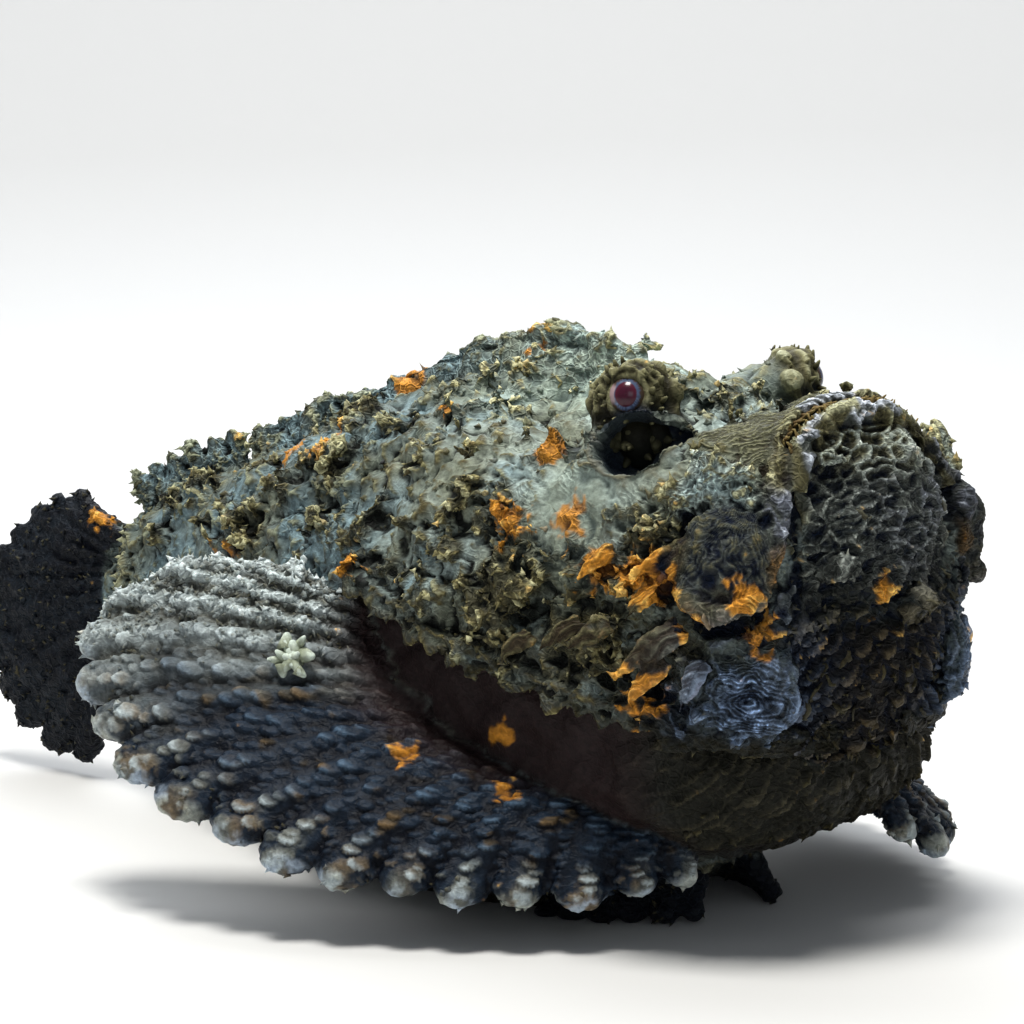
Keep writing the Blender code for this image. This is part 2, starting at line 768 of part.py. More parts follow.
def jaw_forms(surface):
    """The lower lip with its fringe, and rows of flaps on the chin."""
    lower = mouth_path(surface, -LIP_OFFSET)
    pieces = [tube(lower, lip_radii())]
    for spot in lower[4:-4:2]:
        pieces.append(spike(spot, Vector((1, 0, 0.2)), FRINGE_RADIUS, FRINGE_LENGTH, sides=4,
                            bluntness=0.15, sunk=0.4))
    for z, half_width, count in CHIN_ROWS:
        for k in range(count):
            y = half_width * (2 * k / (count - 1) - 1)
            spot = surface.ray_cast(Vector((FAR, y, z)), Vector((-1, 0, 0)))[0]
            if spot is not None:
                pieces.append(spike(spot, Vector((0.8, y * 14, -0.7)), CHIN_FLAP_RADIUS,
                                    CHIN_FLAP_LENGTH, bluntness=0.3))
    return pieces


def cover_flaps(cover, side):
    """Flaps along a gill cover's free edge, which hang over the trunk."""
    surface = surface_of(cover)
    pieces = []
    for k in range(COVER_FLAPS):
        x, z = spline(GILL_LINE[1:4], k / (COVER_FLAPS - 1))
        spot = surface.find_nearest(Vector((x + 0.004, side * 0.055, z + 0.0035)))[0]
        pieces.append(spike(spot, Vector((-0.9, side, -0.1)), COVER_FLAP_RADIUS,
                            COVER_FLAP_LENGTH, sides=4, bluntness=0.15, sunk=0.5))
    return pieces


def head_wart_place(centre, normal):
    from_eye = min((centre - on_side(EYE_PLACE, side)).length for _, side in SIDES)
    on_cheek_or_back = 0.008 < centre.x < 0.094 and centre.z > 0.068
    beside_middle = abs(centre.y) > 0.008
    return from_eye > CLEAR_OF_EYE and on_cheek_or_back and beside_middle and normal.z > -0.1


def trunk_wart_place(centre, normal):
    on_flank = -0.070 < centre.x < -0.006
    return on_flank and abs(normal.y) > 0.25 and normal.z > -0.3


def build_fins(finish):
    """Every fin with its root still sunk in the body."""
    look = finish["fin"]
    made = []
    for name, side in SIDES:
        tips = LEFT_PECTORAL_TIPS if side > 0 else RIGHT_PECTORAL_TIPS
        made.append(fin("pectoral_fin_" + name, "pectoral", mirrored(PECTORAL_BASE, side), tips,
                        11 + side, look, swell=on_side(PECTORAL_SWELL, side)))
        made.append(fin("pelvic_fin_" + name, "pelvic", mirrored(PELVIC_BASE, side),
                        mirrored(PELVIC_TIPS, side), 31 + side, look))
    made.append(fin("dorsal_fin_spines", "spiny_dorsal", DORSAL_BASE, DORSAL_TIPS, 5,
                    finish["skin"]))
    made.append(fin("dorsal_fin_soft", "soft_dorsal", SOFT_BASE, SOFT_TIPS, 6, look))
    made.append(fin("anal_fin", "anal", ANAL_BASE, ANAL_TIPS, 7, look))
    made.append(fin("caudal_fin", "caudal", CAUDAL_BASE, CAUDAL_TIPS, 8, look,
                    swell=CAUDAL_SWELL))
    return made


def finishes():
    return {
        "skin": material("skin", (0.165, 0.155, 0.085), 0.8),
        "jaw": material("jaw", (0.145, 0.125, 0.085), 0.8),
        "fin": material("fin", (0.105, 0.098, 0.088), 0.75),
        "eye": material("eye", (0.10, 0.025, 0.022), 0.15),
    }


def set_origin(nodes):
    """Moves the model so that its origin is the middle of its box, at the floor."""
    points = np.array([v.co for node in nodes for v in node.data.vertices])
    low, high = points.min(axis=0), points.max(axis=0)
    shift = Matrix.Translation((-(low[0] + high[0]) / 2, -(low[1] + high[1]) / 2, 0.0))
    for node in nodes:
        node.data.transform(shift)


def main():
    clear_scene()
    finish = finishes()
    jaw, head = part_jaw(build_whole_head())
    trunk, tail = build_body()
    covers = {}
    for name, side in SIDES:
        cover, head = part_gill_cover(head, "gill_cover_" + name, side)
        covers[side] = cover
    fuse(trunk, warts_on(trunk, TRUNK_WARTS, 4, trunk_wart_place))
    for _, side in SIDES:
        fuse(covers[side], cover_flaps(covers[side], side))
        trim_by(covers[side], [head, trunk])
    eyes = []
    for name, side in SIDES:
        centre = on_side(EYE_PLACE, side)
        socket = blob(centre, [EYE_RADIUS + GAP] * 3, segments=12, rings=8)
        face_out(socket)
        boolean(head, "DIFFERENCE", socket)
        remove(socket)
        eye = blob(centre, [EYE_RADIUS] * 3, segments=12, rings=8)
        face_out(eye)
        eye.name = "eye_" + name
        eyes.append(eye)
    keep_largest(head)
    fins = build_fins(finish)
    carriers = [head, trunk, tail, *covers.values()]
    for made in fins:
        trim_by(made, carriers)
    for node, look in (
        (head, "skin"), (trunk, "skin"), (tail, "skin"), (jaw, "jaw"),
        (covers[-1], "skin"), (covers[1], "skin"), (eyes[0], "eye"), (eyes[1], "eye"),
    ):
        node.data.materials.clear()
        node.data.materials.append(finish[look])
    nodes = [head, jaw, trunk, tail, *covers.values(), *eyes, *fins]
    set_origin(nodes)
    for node in nodes:
        node.data.shade_smooth()
        node.data.set_sharp_from_angle(angle=math.radians(40))


main()
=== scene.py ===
"""A life-size reef stonefish at rest on a plain floor, dressed over its solids.

The shapes are worked out in the fish's own frame: it looks along +X, its left side is +Y, +Z is
up, the floor is z = 0 and lengths are millimetres. They are shifted onto the solids at the end.
"""

import math

import bpy
import numpy as np
from mathutils import Matrix, Vector, noise
from mathutils.bvhtree import BVHTree
from mathutils.kdtree import KDTree


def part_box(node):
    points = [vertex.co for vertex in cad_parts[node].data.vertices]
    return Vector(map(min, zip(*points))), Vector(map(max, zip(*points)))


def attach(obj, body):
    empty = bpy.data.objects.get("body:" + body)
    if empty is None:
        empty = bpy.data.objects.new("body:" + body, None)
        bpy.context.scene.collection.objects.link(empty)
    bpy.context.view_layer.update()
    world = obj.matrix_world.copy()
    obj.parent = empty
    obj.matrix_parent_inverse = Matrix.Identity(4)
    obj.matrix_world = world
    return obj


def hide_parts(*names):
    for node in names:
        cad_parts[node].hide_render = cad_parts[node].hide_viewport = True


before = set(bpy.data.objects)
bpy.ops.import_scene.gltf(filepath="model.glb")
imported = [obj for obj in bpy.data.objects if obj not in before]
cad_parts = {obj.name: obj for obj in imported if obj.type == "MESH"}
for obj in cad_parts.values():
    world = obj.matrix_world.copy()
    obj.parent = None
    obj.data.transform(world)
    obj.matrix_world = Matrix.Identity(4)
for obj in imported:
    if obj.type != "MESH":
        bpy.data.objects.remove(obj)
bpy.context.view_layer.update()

# Sizes shared by the whole model
METRE = 0.001
SIDES = (("right", -1), ("left", 1))
SKIN_VOXEL = 0.50  # size of the cells that the fused skin is made of
SEED = 20

# Body outline by station: x, half width, lowest z, z of the widest place, highest z
HEAD_STATIONS = (
    (107.0, 12.0, 67.0, 75.0, 86.0),
    (106.2, 21.0, 57.0, 73.0, 95.5),
    (103.5, 30.0, 45.0, 70.0, 103.0),
    (98.5, 36.5, 34.0, 67.0, 106.5),
    (90.0, 41.0, 26.0, 64.0, 107.0),
    (75.0, 44.5, 18.0, 61.0, 103.0),
    (60.0, 46.5, 11.0, 60.0, 103.0),
    (42.0, 48.0, 4.0, 60.0, 106.5),
    (22.0, 48.5, 2.0, 60.0, 108.0),
    (0.0, 47.5, 2.0, 60.0, 106.0),
    (-12.0, 45.0, 2.0, 58.0, 102.5),
)
TRUNK_STATIONS = (
    (100.0, 17.0, 33.0, 39.0, 46.0),
    (96.0, 27.5, 27.5, 39.0, 56.0),
    (86.0, 34.5, 20.5, 39.0, 70.0),
    (66.0, 38.5, 11.0, 41.0, 85.0),
    (45.0, 41.0, 1.0, 43.0, 92.0),
    (20.0, 42.0, -6.0, 47.0, 100.5),
    (0.0, 41.5, -6.0, 50.0, 104.5),
    (-27.0, 35.0, -4.0, 51.0, 96.0),
    (-58.0, 24.0, 8.0, 51.0, 85.0),
    (-90.0, 14.0, 25.0, 50.0, 73.0),
    (-112.0, 8.5, 34.0, 49.0, 64.0),
    (-120.0, 7.0, 37.0, 49.0, 61.0),
)
SIDE_POWER = 0.80
TOP_POWER = 0.85
BELLY_POWER = 0.68
HEAD_END_X = 6.0  # the gill cover's free rear edge
CORE_DEPTH = 0.8  # how far the skin's core lies inside the solids

# The gill cover's lower edge seen from the side, and the mouth's outline seen from the front
GILL_EDGE = (
    (6.0, 67.5),
    (22.0, 62.0),
    (41.0, 56.0),
    (66.0, 50.5),
    (87.0, 46.5),
    (104.0, 40.0),
    (110.0, 38.4),
)
MOUTH_HALF = (
    (101.2, 0.0, 105.2),
    (101.0, 8.0, 105.0),
    (100.8, 13.5, 103.8),
    (101.0, 18.0, 101.0),
    (101.8, 22.0, 97.0),
    (103.4, 24.0, 91.0),
    (105.0, 24.0, 82.0),
    (106.0, 23.2, 73.0),
    (106.0, 24.5, 63.0),
    (104.5, 28.0, 53.0),
)
CORNER_DROP = 4.0
MOUTH_ROOT = (90.0, 0.0, 88.0)  # the place that the mouth's gap opens away from
JAW_LUMPS = (  # knobs and folds on the jaw's front: place and size
    ((106.0, -14.0, 97.0), 2.6),
    ((107.0, -7.0, 98.0), 2.2),
    ((106.4, -16.0, 88.0), 2.6),
    ((108.4, 3.0, 96.0), 3.4),
    ((106.6, 12.0, 96.0), 3.4),
    ((108.0, 14.0, 86.0), 3.4),
    ((108.6, -13.0, 77.0), 3.4),
    ((111.0, 5.0, 68.0), 3.0),
)
FAN_RIM = ((91.2, 85.0), (90.2, 77.5), (91.8, 70.8), (96.6, 66.4), (102.0, 66.6), (107.0, 71.0))

# Soft relief of the whole body: x, distance from the middle, z, radius, height
RELIEF = (
    (107.0, 0.0, 78.0, 18.0, 3.5),
    (97.0, 33.0, 81.0, 12.0, 2.5),
    (101.0, 29.0, 52.0, 12.0, 3.5),
    (88.0, 14.0, 106.0, 11.0, 3.0),
    (71.5, 30.0, 96.0, 10.0, -8.5),
    (64.0, 0.0, 103.0, 12.0, -6.0),
    (48.0, 0.0, 107.0, 9.0, -4.0),
    (47.0, 23.0, 107.0, 11.0, 6.5),
    (29.0, 18.0, 110.0, 12.0, 7.5),
    (86.0, 43.0, 58.0, 8.0, 5.0),
    (73.0, 45.0, 63.0, 8.0, 5.0),
    (56.0, 47.0, 70.0, 9.0, 3.5),
    (40.0, 46.0, 82.0, 9.0, 3.0),
    (12.0, 47.0, 69.0, 10.0, 3.0),
    (-20.0, 30.0, 80.0, 12.0, 3.0),
    (-50.0, 22.0, 65.0, 11.0, 2.5),
)
ROUGHNESS = 1.6
LUMP_SIZE = 8.5
FLAT_SKIN_Z = 1.5
HEAD_LUMPS = (620, 101)  # how many, and the seed of the draw
TRUNK_LUMPS = (300, 102)

# Eyes
EYE_PLACE = (65.0, 25.8, 106.8)
EYE_RADIUS = 4.1
EYE_FACING = (0.50, 0.82, 0.20)
LID_RADIUS = 4.05  # of the lid's ring
LID_STOUT = 1.15
LID_FORWARD = 1.6
TURRET_RADIUS = 7.8
TURRET_DEPTH = 14.0
TURRET_LOBES = (  # angle from the front side, distance off the axis, place along it, size
    (10.0, 8.0, -5.0, 2.8),
    (50.0, 6.4, -4.5, 2.4),
    (62.0, 4.7, 1.9, 1.7),
    (92.0, 4.7, 2.2, 1.8),
    (122.0, 4.8, 1.9, 1.7),
    (100.0, 5.8, -4.5, 2.0),
    (150.0, 6.4, -4.5, 2.2),
    (190.0, 7.0, -4.0, 2.6),
    (225.0, 7.4, -2.5, 2.8),
    (265.0, 7.6, -1.0, 3.4),
    (300.0, 7.6, -1.5, 3.2),
    (335.0, 8.4, -4.0, 2.8),
    (272.0, 9.6, 0.5, 4.2),
    (292.0, 11.4, 0.0, 3.0),
    (258.0, 12.4, 0.0, 2.8),
)

PIT_BALLS = (  # centre and radius of the balls that the pit before each eye is scooped out with
    ((71.0, 30.0, 96.8), 7.0),
    ((75.0, 26.0, 99.0), 4.8),
)
# The ledge under each turret, which gets painted shade.
UNDER_TURRET = (69.0, 29.0, 101.0)
PEAK_LEAN = np.array((-0.80, 0.0, -0.60))
CALM_CHEEK = (64.0, 42.0, 91.0)

# Fins: base and tip lines from the first ray to the last
PECTORAL_BASE = (
    (80.0, 12.0, 24.0),
    (66.0, 26.0, 27.0),
    (50.0, 34.0, 30.0),
    (34.0, 37.0, 35.0),
    (22.0, 38.0, 42.0),
    (12.0, 38.0, 52.0),
    (6.0, 37.0, 60.0),
)
RIGHT_PECTORAL_TIPS = (
    (80.0, -21.0, 14.0),
    (74.0, -36.0, 10.0),
    (60.0, -53.0, 9.0),
    (43.0, -66.0, 10.0),
    (24.0, -77.0, 14.0),
    (2.0, -83.0, 21.0),
    (-22.0, -84.0, 31.0),
    (-38.0, -80.0, 44.0),
    (-40.0, -71.0, 59.0),
    (-25.0, -59.0, 67.0),
    (-10.0, -50.0, 63.0),
)
LEFT_PECTORAL_TIPS = (
    (88.0, 29.0, 15.0),
    (87.0, 46.0, 9.0),
    (75.0, 61.0, 8.5),
    (57.0, 73.0, 10.0),
    (37.0, 81.0, 14.0),
    (14.0, 85.0, 21.0),
    (-11.0, 85.0, 31.0),
    (-29.0, 79.0, 44.0),
    (-32.0, 70.0, 58.0),
    (-19.0, 58.0, 67.0),
    (-8.0, 50.0, 63.0),
)
PELVIC_BASE = ((68.0, 5.0, 17.0), (54.0, 9.0, 11.0), (42.0, 12.0, 7.0))
PELVIC_TIPS = ((72.0, 11.0, 0.8), (58.0, 23.0, 0.8), (41.0, 29.0, 0.8))
DORSAL_BASE = (
    (44.0, 0.0, 99.5),
    (22.0, 0.0, 103.5),
    (0.0, 0.0, 99.0),
    (-30.0, 0.0, 90.0),
    (-60.0, 0.0, 78.5),
    (-71.5, 0.0, 74.0),
)
DORSAL_TIPS = (
    (45.0, 0.0, 114.0),
    (24.0, 0.0, 117.5),
    (-1.0, 0.0, 113.5),
    (-30.0, 0.0, 103.5),
    (-62.0, 0.0, 93.0),
    (-75.5, 0.0, 88.0),
)
SOFT_BASE = ((-74.5, 0.0, 70.0), (-90.0, 0.0, 64.0), (-106.0, 0.0, 58.0))
SOFT_TIPS = ((-81.0, 0.0, 88.0), (-101.0, 0.0, 82.5), (-118.0, 0.0, 73.0))
ANAL_BASE = ((-50.0, 0.0, 14.0), (-70.0, 0.0, 23.0), (-92.0, 0.0, 32.0))
ANAL_TIPS = ((-56.0, 0.0, 0.8), (-80.0, 0.0, 0.8), (-108.0, 0.0, 8.0))
CAUDAL_BASE = ((-112.0, 0.0, 38.0), (-114.0, 0.0, 49.0), (-112.0, 0.0, 60.0))
CAUDAL_TIPS = (
    (-133.0, 0.0, 1.0),
    (-156.0, -3.0, 9.0),
    (-167.0, -6.0, 28.0),
    (-166.0, -6.0, 48.0),
    (-150.0, -3.0, 63.0),
    (-134.0, 0.0, 68.0),
)

# Colours, as linear light
# Painted shade: the near-black laid in the deepest hollows of the relief, at the low end of the colour
# ladders.
HOLLOW_SHADE = (0.006, 0.007, 0.006)
VALLEY = (0.175, 0.195, 0.145)
VALLEY_LIGHT = (0.390, 0.445, 0.380)
FLANK = (0.075, 0.062, 0.026)
FLANK_DARK = (0.040, 0.034, 0.014)
CREST = (0.250, 0.225, 0.100)
CALM = (0.300, 0.385, 0.345)
MOSS_TIP = (0.480, 0.465, 0.270)
BACK = (0.070, 0.102, 0.112)
BACK_LIGHT = (0.180, 0.262, 0.285)
BACK_FLANK = (0.055, 0.058, 0.036)
BACK_TIP = (0.270, 0.300, 0.210)
OLIVE = (0.085, 0.078, 0.038)
BROWN = (0.030, 0.022, 0.012)
BROWN_TIP = (0.150, 0.098, 0.046)
TURRET = (0.026, 0.023, 0.010)
TURRET_TIP = (0.215, 0.205, 0.105)
JAW = (0.048, 0.054, 0.048)
JAW_TIP = (0.270, 0.295, 0.265)
LILAC = (0.150, 0.165, 0.205)
LILAC_TIP = (0.460, 0.500, 0.560)
# The chin: its own dark brown scales, made near black with painted shade under the head.
CHIN_IN_SHADE = (0.004, 0.0035, 0.003)
CHIN_TIP_IN_SHADE = (0.062, 0.048, 0.026)
SNOUT = (0.080, 0.080, 0.045)
SNOUT_TIP = (0.270, 0.270, 0.160)
# Blue-black: the swirl's own colour, and the colour that painted shade in gaps, creases, pits and the
# jaw's deepest hollows is laid in.
INK = (0.004, 0.007, 0.016)
INK_TIP = (0.240, 0.350, 0.560)
# The throat and belly: their own dark tone, made near black with painted shade under the fish.
THROAT_IN_SHADE = (0.010, 0.010, 0.007)
THROAT_TIP_IN_SHADE = (0.045, 0.040, 0.024)
# Painted shade: the near-black laid in the breast fins' deepest hollows, between rays and warts.
FIN_HOLLOW_SHADE = (0.002, 0.003, 0.006)
FIN_MIDDLE = (0.011, 0.019, 0.032)
FIN_WART = (0.060, 0.100, 0.150)
# The breast fin's root and the skin below the gill cover: dark brown, darkened further with painted
# shade under the cover's edge.
FIN_ROOT_IN_SHADE = (0.018, 0.011, 0.011)
FIN_ROOT_TIP_IN_SHADE = (0.060, 0.042, 0.038)
FIN_EDGE = (0.110, 0.115, 0.100)
FIN_EDGE_TIP = (0.320, 0.370, 0.380)
FIN_END = (0.460, 0.560, 0.680)
FIN_REAR = (0.310, 0.355, 0.350)
FIN_REAR_TIP = (0.640, 0.720, 0.720)
TAIL = (0.003, 0.004, 0.008)
TAIL_TIP = (0.010, 0.014, 0.022)
ORANGE_DEEP = (0.130, 0.050, 0.010)
ORANGE = (0.480, 0.200, 0.022)
ORANGE_TIP = (0.800, 0.480, 0.110)
PALE = (0.560, 0.640, 0.560)

NAPE = (35.0, 15.0, 106.0)
LILAC_SPOT = (111.0, 5.5, 87.0)

# Orange patches: x, y, z, radius, strength
ORANGE_PATCHES = (
    (-22.0, -2.0, 101.0, 6.0, 0.8),
    (15.9, -26.7, 103.6, 4.5, 0.8),
    (-28.4, -20.9, 90.4, 6.0, 0.7),
    (-43.3, -16.1, 85.6, 6.0, 0.6),
    (51.6, -34.1, 95.9, 4.0, 1.0),
    (49.8, -46.1, 83.1, 5.5, 1.0),
    (64.6, -40.5, 83.9, 6.5, 0.8),
    (74.0, -43.3, 75.5, 6.0, 0.9),
    (85.0, -42.6, 76.5, 5.5, 1.0),
    (88.6, -43.0, 73.5, 5.0, 1.0),
    (19.9, -52.8, 70.4, 5.0, 0.8),
    (7.9, -49.4, 71.3, 4.5, 0.9),
    (102.2, -35.0, 72.8, 5.0, 0.7),
    (104.4, -31.7, 64.6, 5.0, 0.8),
    (110.8, -4.5, 71.8, 3.5, 0.8),
    (82.5, -46.6, 53.8, 6.0, 1.0),
    (86.1, -44.9, 52.1, 6.0, 0.9),
    (94.6, -40.4, 66.9, 4.5, 0.6),
    (45.6, -40.5, 40.0, 4.0, 0.7),
    (51.9, -46.9, 30.2, 4.0, 0.6),
    (30.9, -53.8, 34.8, 4.0, 0.6),
    (16.0, -3.7, 112.4, 4.0, 0.7),
    (-122.5, -6.5, 64.2, 5.0, 0.6),
    (60.0, 46.0, 80.0, 6.0, 0.9),
    (30.0, 47.0, 88.0, 6.0, 0.8),
    (84.0, 43.0, 70.0, 6.0, 0.9),
    (20.0, 50.0, 66.0, 6.0, 0.8),
    (-30.0, 30.0, 72.0, 7.0, 0.7),
    (-60.0, -22.0, 60.0, 7.0, 0.6),
    (92.0, 38.0, 52.0, 6.0, 0.8),
    (10.0, 66.0, 38.0, 6.0, 0.6),
)


# Noise and blending


def step(low, high, value):
    """0 under low, 1 over high, and a smooth rise between them."""
    t = np.clip((value - low) / (high - low), 0.0, 1.0)
    return t * t * (3.0 - 2.0 * t)


def darker(colour, share):
    """The colour with a share of its light taken away at each point."""
    return colour * (1.0 - share)[:, None]


def bell(points, centre, radius):
    """1 at the centre, falling to nothing past the radius."""
    away = ((points - np.asarray(centre, float)) ** 2).sum(axis=1)
    return np.exp(-away / radius**2)


def blend(a, b, share):
    """The first colour where share is 0, the second where it is 1."""
    share = np.atleast_1d(share)[:, None]
    return np.asarray(a) * (1.0 - share) + np.asarray(b) * share


def unit(vectors):
    """The same directions with length 1."""
    if vectors.ndim == 1:
        return vectors / np.linalg.norm(vectors)
    return vectors / np.linalg.norm(vectors, axis=-1, keepdims=True)


def circle(count):
    """Angles spaced evenly round a circle."""
    return 2 * np.pi * np.arange(count) / count


def around(turn, across, over):
    """Ways out from an axis at some angles, between two directions across it or rows of such."""
    return np.cos(turn)[:, None] * across[..., None, :] + np.sin(turn)[:, None] * over[..., None, :]


HASH_X, HASH_Y, HASH_Z, HASH_SEED, HASH_MIX = 374761393, 668265263, 1442695041, 97463477, 1274126177
HASH_MASK = 0xFFFFFFFF
DIRECTIONS = np.array([
    (1, 1, 0), (-1, 1, 0), (1, -1, 0), (-1, -1, 0), (1, 0, 1), (-1, 0, 1), (1, 0, -1), (-1, 0, -1),
    (0, 1, 1), (0, -1, 1), (0, 1, -1), (0, -1, -1), (1, 1, 0), (-1, 1, 0), (0, -1, 1), (0, -1, -1),
], float)
CORNERS = [(i, j, k) for i in (0, 1) for j in (0, 1) for k in (0, 1)]
NEIGHBOURS = [(i, j, k) for i in (-1, 0, 1) for j in (-1, 0, 1) for k in (-1, 0, 1)]


def hashed(cell, seed):
    """A repeatable whole number for each cell."""
    value = cell[:, 0] * HASH_X + cell[:, 1] * HASH_Y + cell[:, 2] * HASH_Z + seed * HASH_SEED
    value = value & HASH_MASK
    value = ((value ^ (value >> 13)) * HASH_MIX) & HASH_MASK
    return value ^ (value >> 16)


def perlin(points, size, seed):
    """Smooth noise from about -1 to 1 with features of the given size."""
    p = points / size
    cell = np.floor(p).astype(np.int64)
    f = p - cell
    s = f * f * f * (f * (f * 6.0 - 15.0) + 10.0)
    total = np.zeros(len(p))
    for corner in CORNERS:
        away = f - corner
        slope = DIRECTIONS[hashed(cell + corner, seed) & 15]
        weight = np.where(corner, s, 1.0 - s).prod(axis=1)
        total += weight * (away * slope).sum(axis=1)
    return total


def cloud(points, size, octaves, seed):
    """Noise of several sizes, each half as large and half as strong as the one before."""
    total = np.zeros(len(points))
    for k in range(octaves):
        total += perlin(points, size / 2.0**k, seed + 31 * k) / 2.0**k
    return total


def crest(points, size, seed, sharp):
    """Ridges: 1 on the crests and 0 between them."""
    return np.clip(1.0 - 1.6 * np.abs(perlin(points, size, seed)), 0.0, 1.0) ** sharp


def cells(points, size, seed):
    """Distance to the nearest and second nearest scattered seed, in sizes, and the nearest's draw."""
    p = points / size
    cell = np.floor(p).astype(np.int64)
    near = np.full(len(p), 9.0)
    second = np.full(len(p), 9.0)
    draw = np.zeros(len(p))
    for offset in NEIGHBOURS:
        other = cell + offset
        h = hashed(other, seed)
        spot = np.stack([h & 255, (h >> 8) & 255, (h >> 16) & 255], axis=1) / 255.0
        away = np.sqrt(((other + spot - p) ** 2).sum(axis=1))
        closer = away < near
        second = np.where(closer, near, np.minimum(second, away))
        near = np.where(closer, away, near)
        draw = np.where(closer, ((h >> 3) & 1023) / 1023.0, draw)
    return near, second, draw


# Curves and closed shapes: each is (points, triangles)


def spline(points, place):
    """The points at the places, from 0 to 1, on a smooth curve through the control points."""
    points = np.asarray(points, float)
    last = len(points) - 1
    at = np.clip(np.asarray(place, float), 0.0, 1.0) * last
    i = np.minimum(at.astype(int), last - 1)
    u = (at - i)[..., None]
    a, b, c, d = (points[np.clip(i + k, 0, last)] for k in (-1, 0, 1, 2))
    return 0.5 * (
        2 * b + (c - a) * u + (2 * a - 5 * b + 4 * c - d) * u**2 + (3 * b - 3 * c + d - a) * u**3
    )


def grid_triangles(rows, columns, wrap):
    """Triangles over a grid of points, row after row, with its columns closed round if wrap."""
    wide = columns if wrap else columns - 1
    i = np.repeat(np.arange(rows - 1), wide)
    j = np.tile(np.arange(wide), rows - 1)
    a = i * columns + j
    b = i * columns + (j + 1) % columns
    c = a + columns
    d = b + columns
    return np.concatenate([np.stack([a, c, d], 1), np.stack([a, d, b], 1)])


def cap(ring, centre, flip):
    """Triangles from a ring of points to its centre."""
    after = np.roll(ring, -1)
    middle = np.full(len(ring), centre)
    sides = (after, ring) if flip else (ring, after)
    return np.stack([middle, *sides], 1)


def closed_rings(rings):
    """A closed shape through rings of points, shape (rows, columns, 3), with both ends filled."""
    rows, columns, _ = rings.shape
    points = np.concatenate([rings.reshape(-1, 3), rings[:1].mean(axis=1), rings[-1:].mean(axis=1)])
    count = rows * columns
    first = cap(np.arange(columns), count, False)
    last = cap(np.arange(count - columns, count), count + 1, True)
    return points, np.concatenate([grid_triangles(rows, columns, True), first, last])


def frame_along(path):
    """Two directions across a path at each of its points."""
    along = unit(np.gradient(path, axis=0))
    up = np.where(np.abs(along[:, 2:3]) < 0.9, (0.0, 0.0, 1.0), (1.0, 0.0, 0.0))
    across = unit(np.cross(up, along))
    return across, np.cross(along, across)


def rope(path, radii, sides=12):
    """A rope of flesh along a path."""
    return closed_rings(path[:, None] + radii[:, None, None] * around(circle(sides), *frame_along(path)))


def blob(place, size, facing=(1.0, 0.0, 0.0), power=0.8):
    """A rounded lobe. Its half sizes are across, along the facing direction, and up."""
    facing = unit(np.asarray(facing, float))
    across = unit(np.cross((0.0, 0.0, 1.0), facing))
    up = np.cross(facing, across)
    low = np.linspace(0.04, np.pi - 0.04, 15)
    turn = circle(26)

    def soft(value):
        return np.sign(value) * np.abs(value) ** power

    x = soft(np.sin(low))[:, None] * soft(np.cos(turn))[None]
    y = soft(np.sin(low))[:, None] * soft(np.sin(turn))[None]
    z = np.repeat(soft(np.cos(low))[:, None], len(turn), axis=1)
    axes = np.stack([across * size[0], facing * size[1], up * size[2]])
    return closed_rings(np.asarray(place, float) + np.stack([x, y, z], axis=2) @ axes)


def leaf(root, tip, bend, width, thick, curve):
    """A pointed flap from root to tip, widest near its root, flat across the bend direction."""
    s = np.linspace(0.0, 1.0, 14)
    path = root + (tip - root) * s[:, None] + curve * (4 * s * (1 - s))[:, None]
    along = unit(np.gradient(path, axis=0))
    across = unit(np.cross(unit(bend), along))
    over = np.cross(along, across)
    profile = np.clip((1.0 - s**1.8), 0.03, 1.0) * (0.75 + 0.6 * s * (1 - s))
    turn = circle(16)
    wide = np.cos(turn)[None] * (profile * width)[:, None]
    deep = np.sin(turn)[None] * (thick * np.clip(profile, 0.2, 1.0))[:, None]
    rings = path[:, None] + across[:, None] * wide[..., None]
    return closed_rings(rings + over[:, None] * deep[..., None])


class Flesh:
    """The closed shapes that the skin is fused from, with what each of their points belongs to."""

    def __init__(self):
        self.points, self.triangles, self.part, self.ray, self.along = [], [], [], [], []
        self.count = 0
        self.names = []

    def add(self, name, shape, ray=None, along=None):
        """Takes one closed shape, with its points' places along a fin if it is one."""
        points, triangles = shape
        if name not in self.names:
            self.names.append(name)
        self.points.append(points)
        self.triangles.append(triangles + self.count)
        self.part.append(np.full(len(points), self.names.index(name)))
        self.ray.append(np.zeros(len(points)) if ray is None else ray)
        self.along.append(np.zeros(len(points)) if along is None else along)
        self.count += len(points)

    def joined(self):
        """All the shapes as one: points, triangles, parts, and places along and out on a fin."""
        return [
            np.concatenate(rows)
            for rows in (self.points, self.triangles, self.part, self.ray, self.along)
        ]


def placed(name, data):
    """A new object of the scene that holds the data."""
    obj = bpy.data.objects.new(name, data)
    bpy.context.scene.collection.objects.link(obj)
    return obj


def mesh_of(name, points, triangles):
    """A mesh object from points in millimetres."""
    mesh = bpy.data.meshes.new(name)
    mesh.vertices.add(len(points))
    mesh.vertices.foreach_set("co", (points * METRE).astype(np.float32).ravel())
    mesh.loops.add(triangles.size)
    mesh.loops.foreach_set("vertex_index", triangles.astype(np.int32).ravel())
    mesh.polygons.add(len(triangles))
    mesh.polygons.foreach_set("loop_start", np.arange(0, triangles.size, 3, dtype=np.int32))
    mesh.update(calc_edges=True)
    mesh.validate()
    return placed(name, mesh)


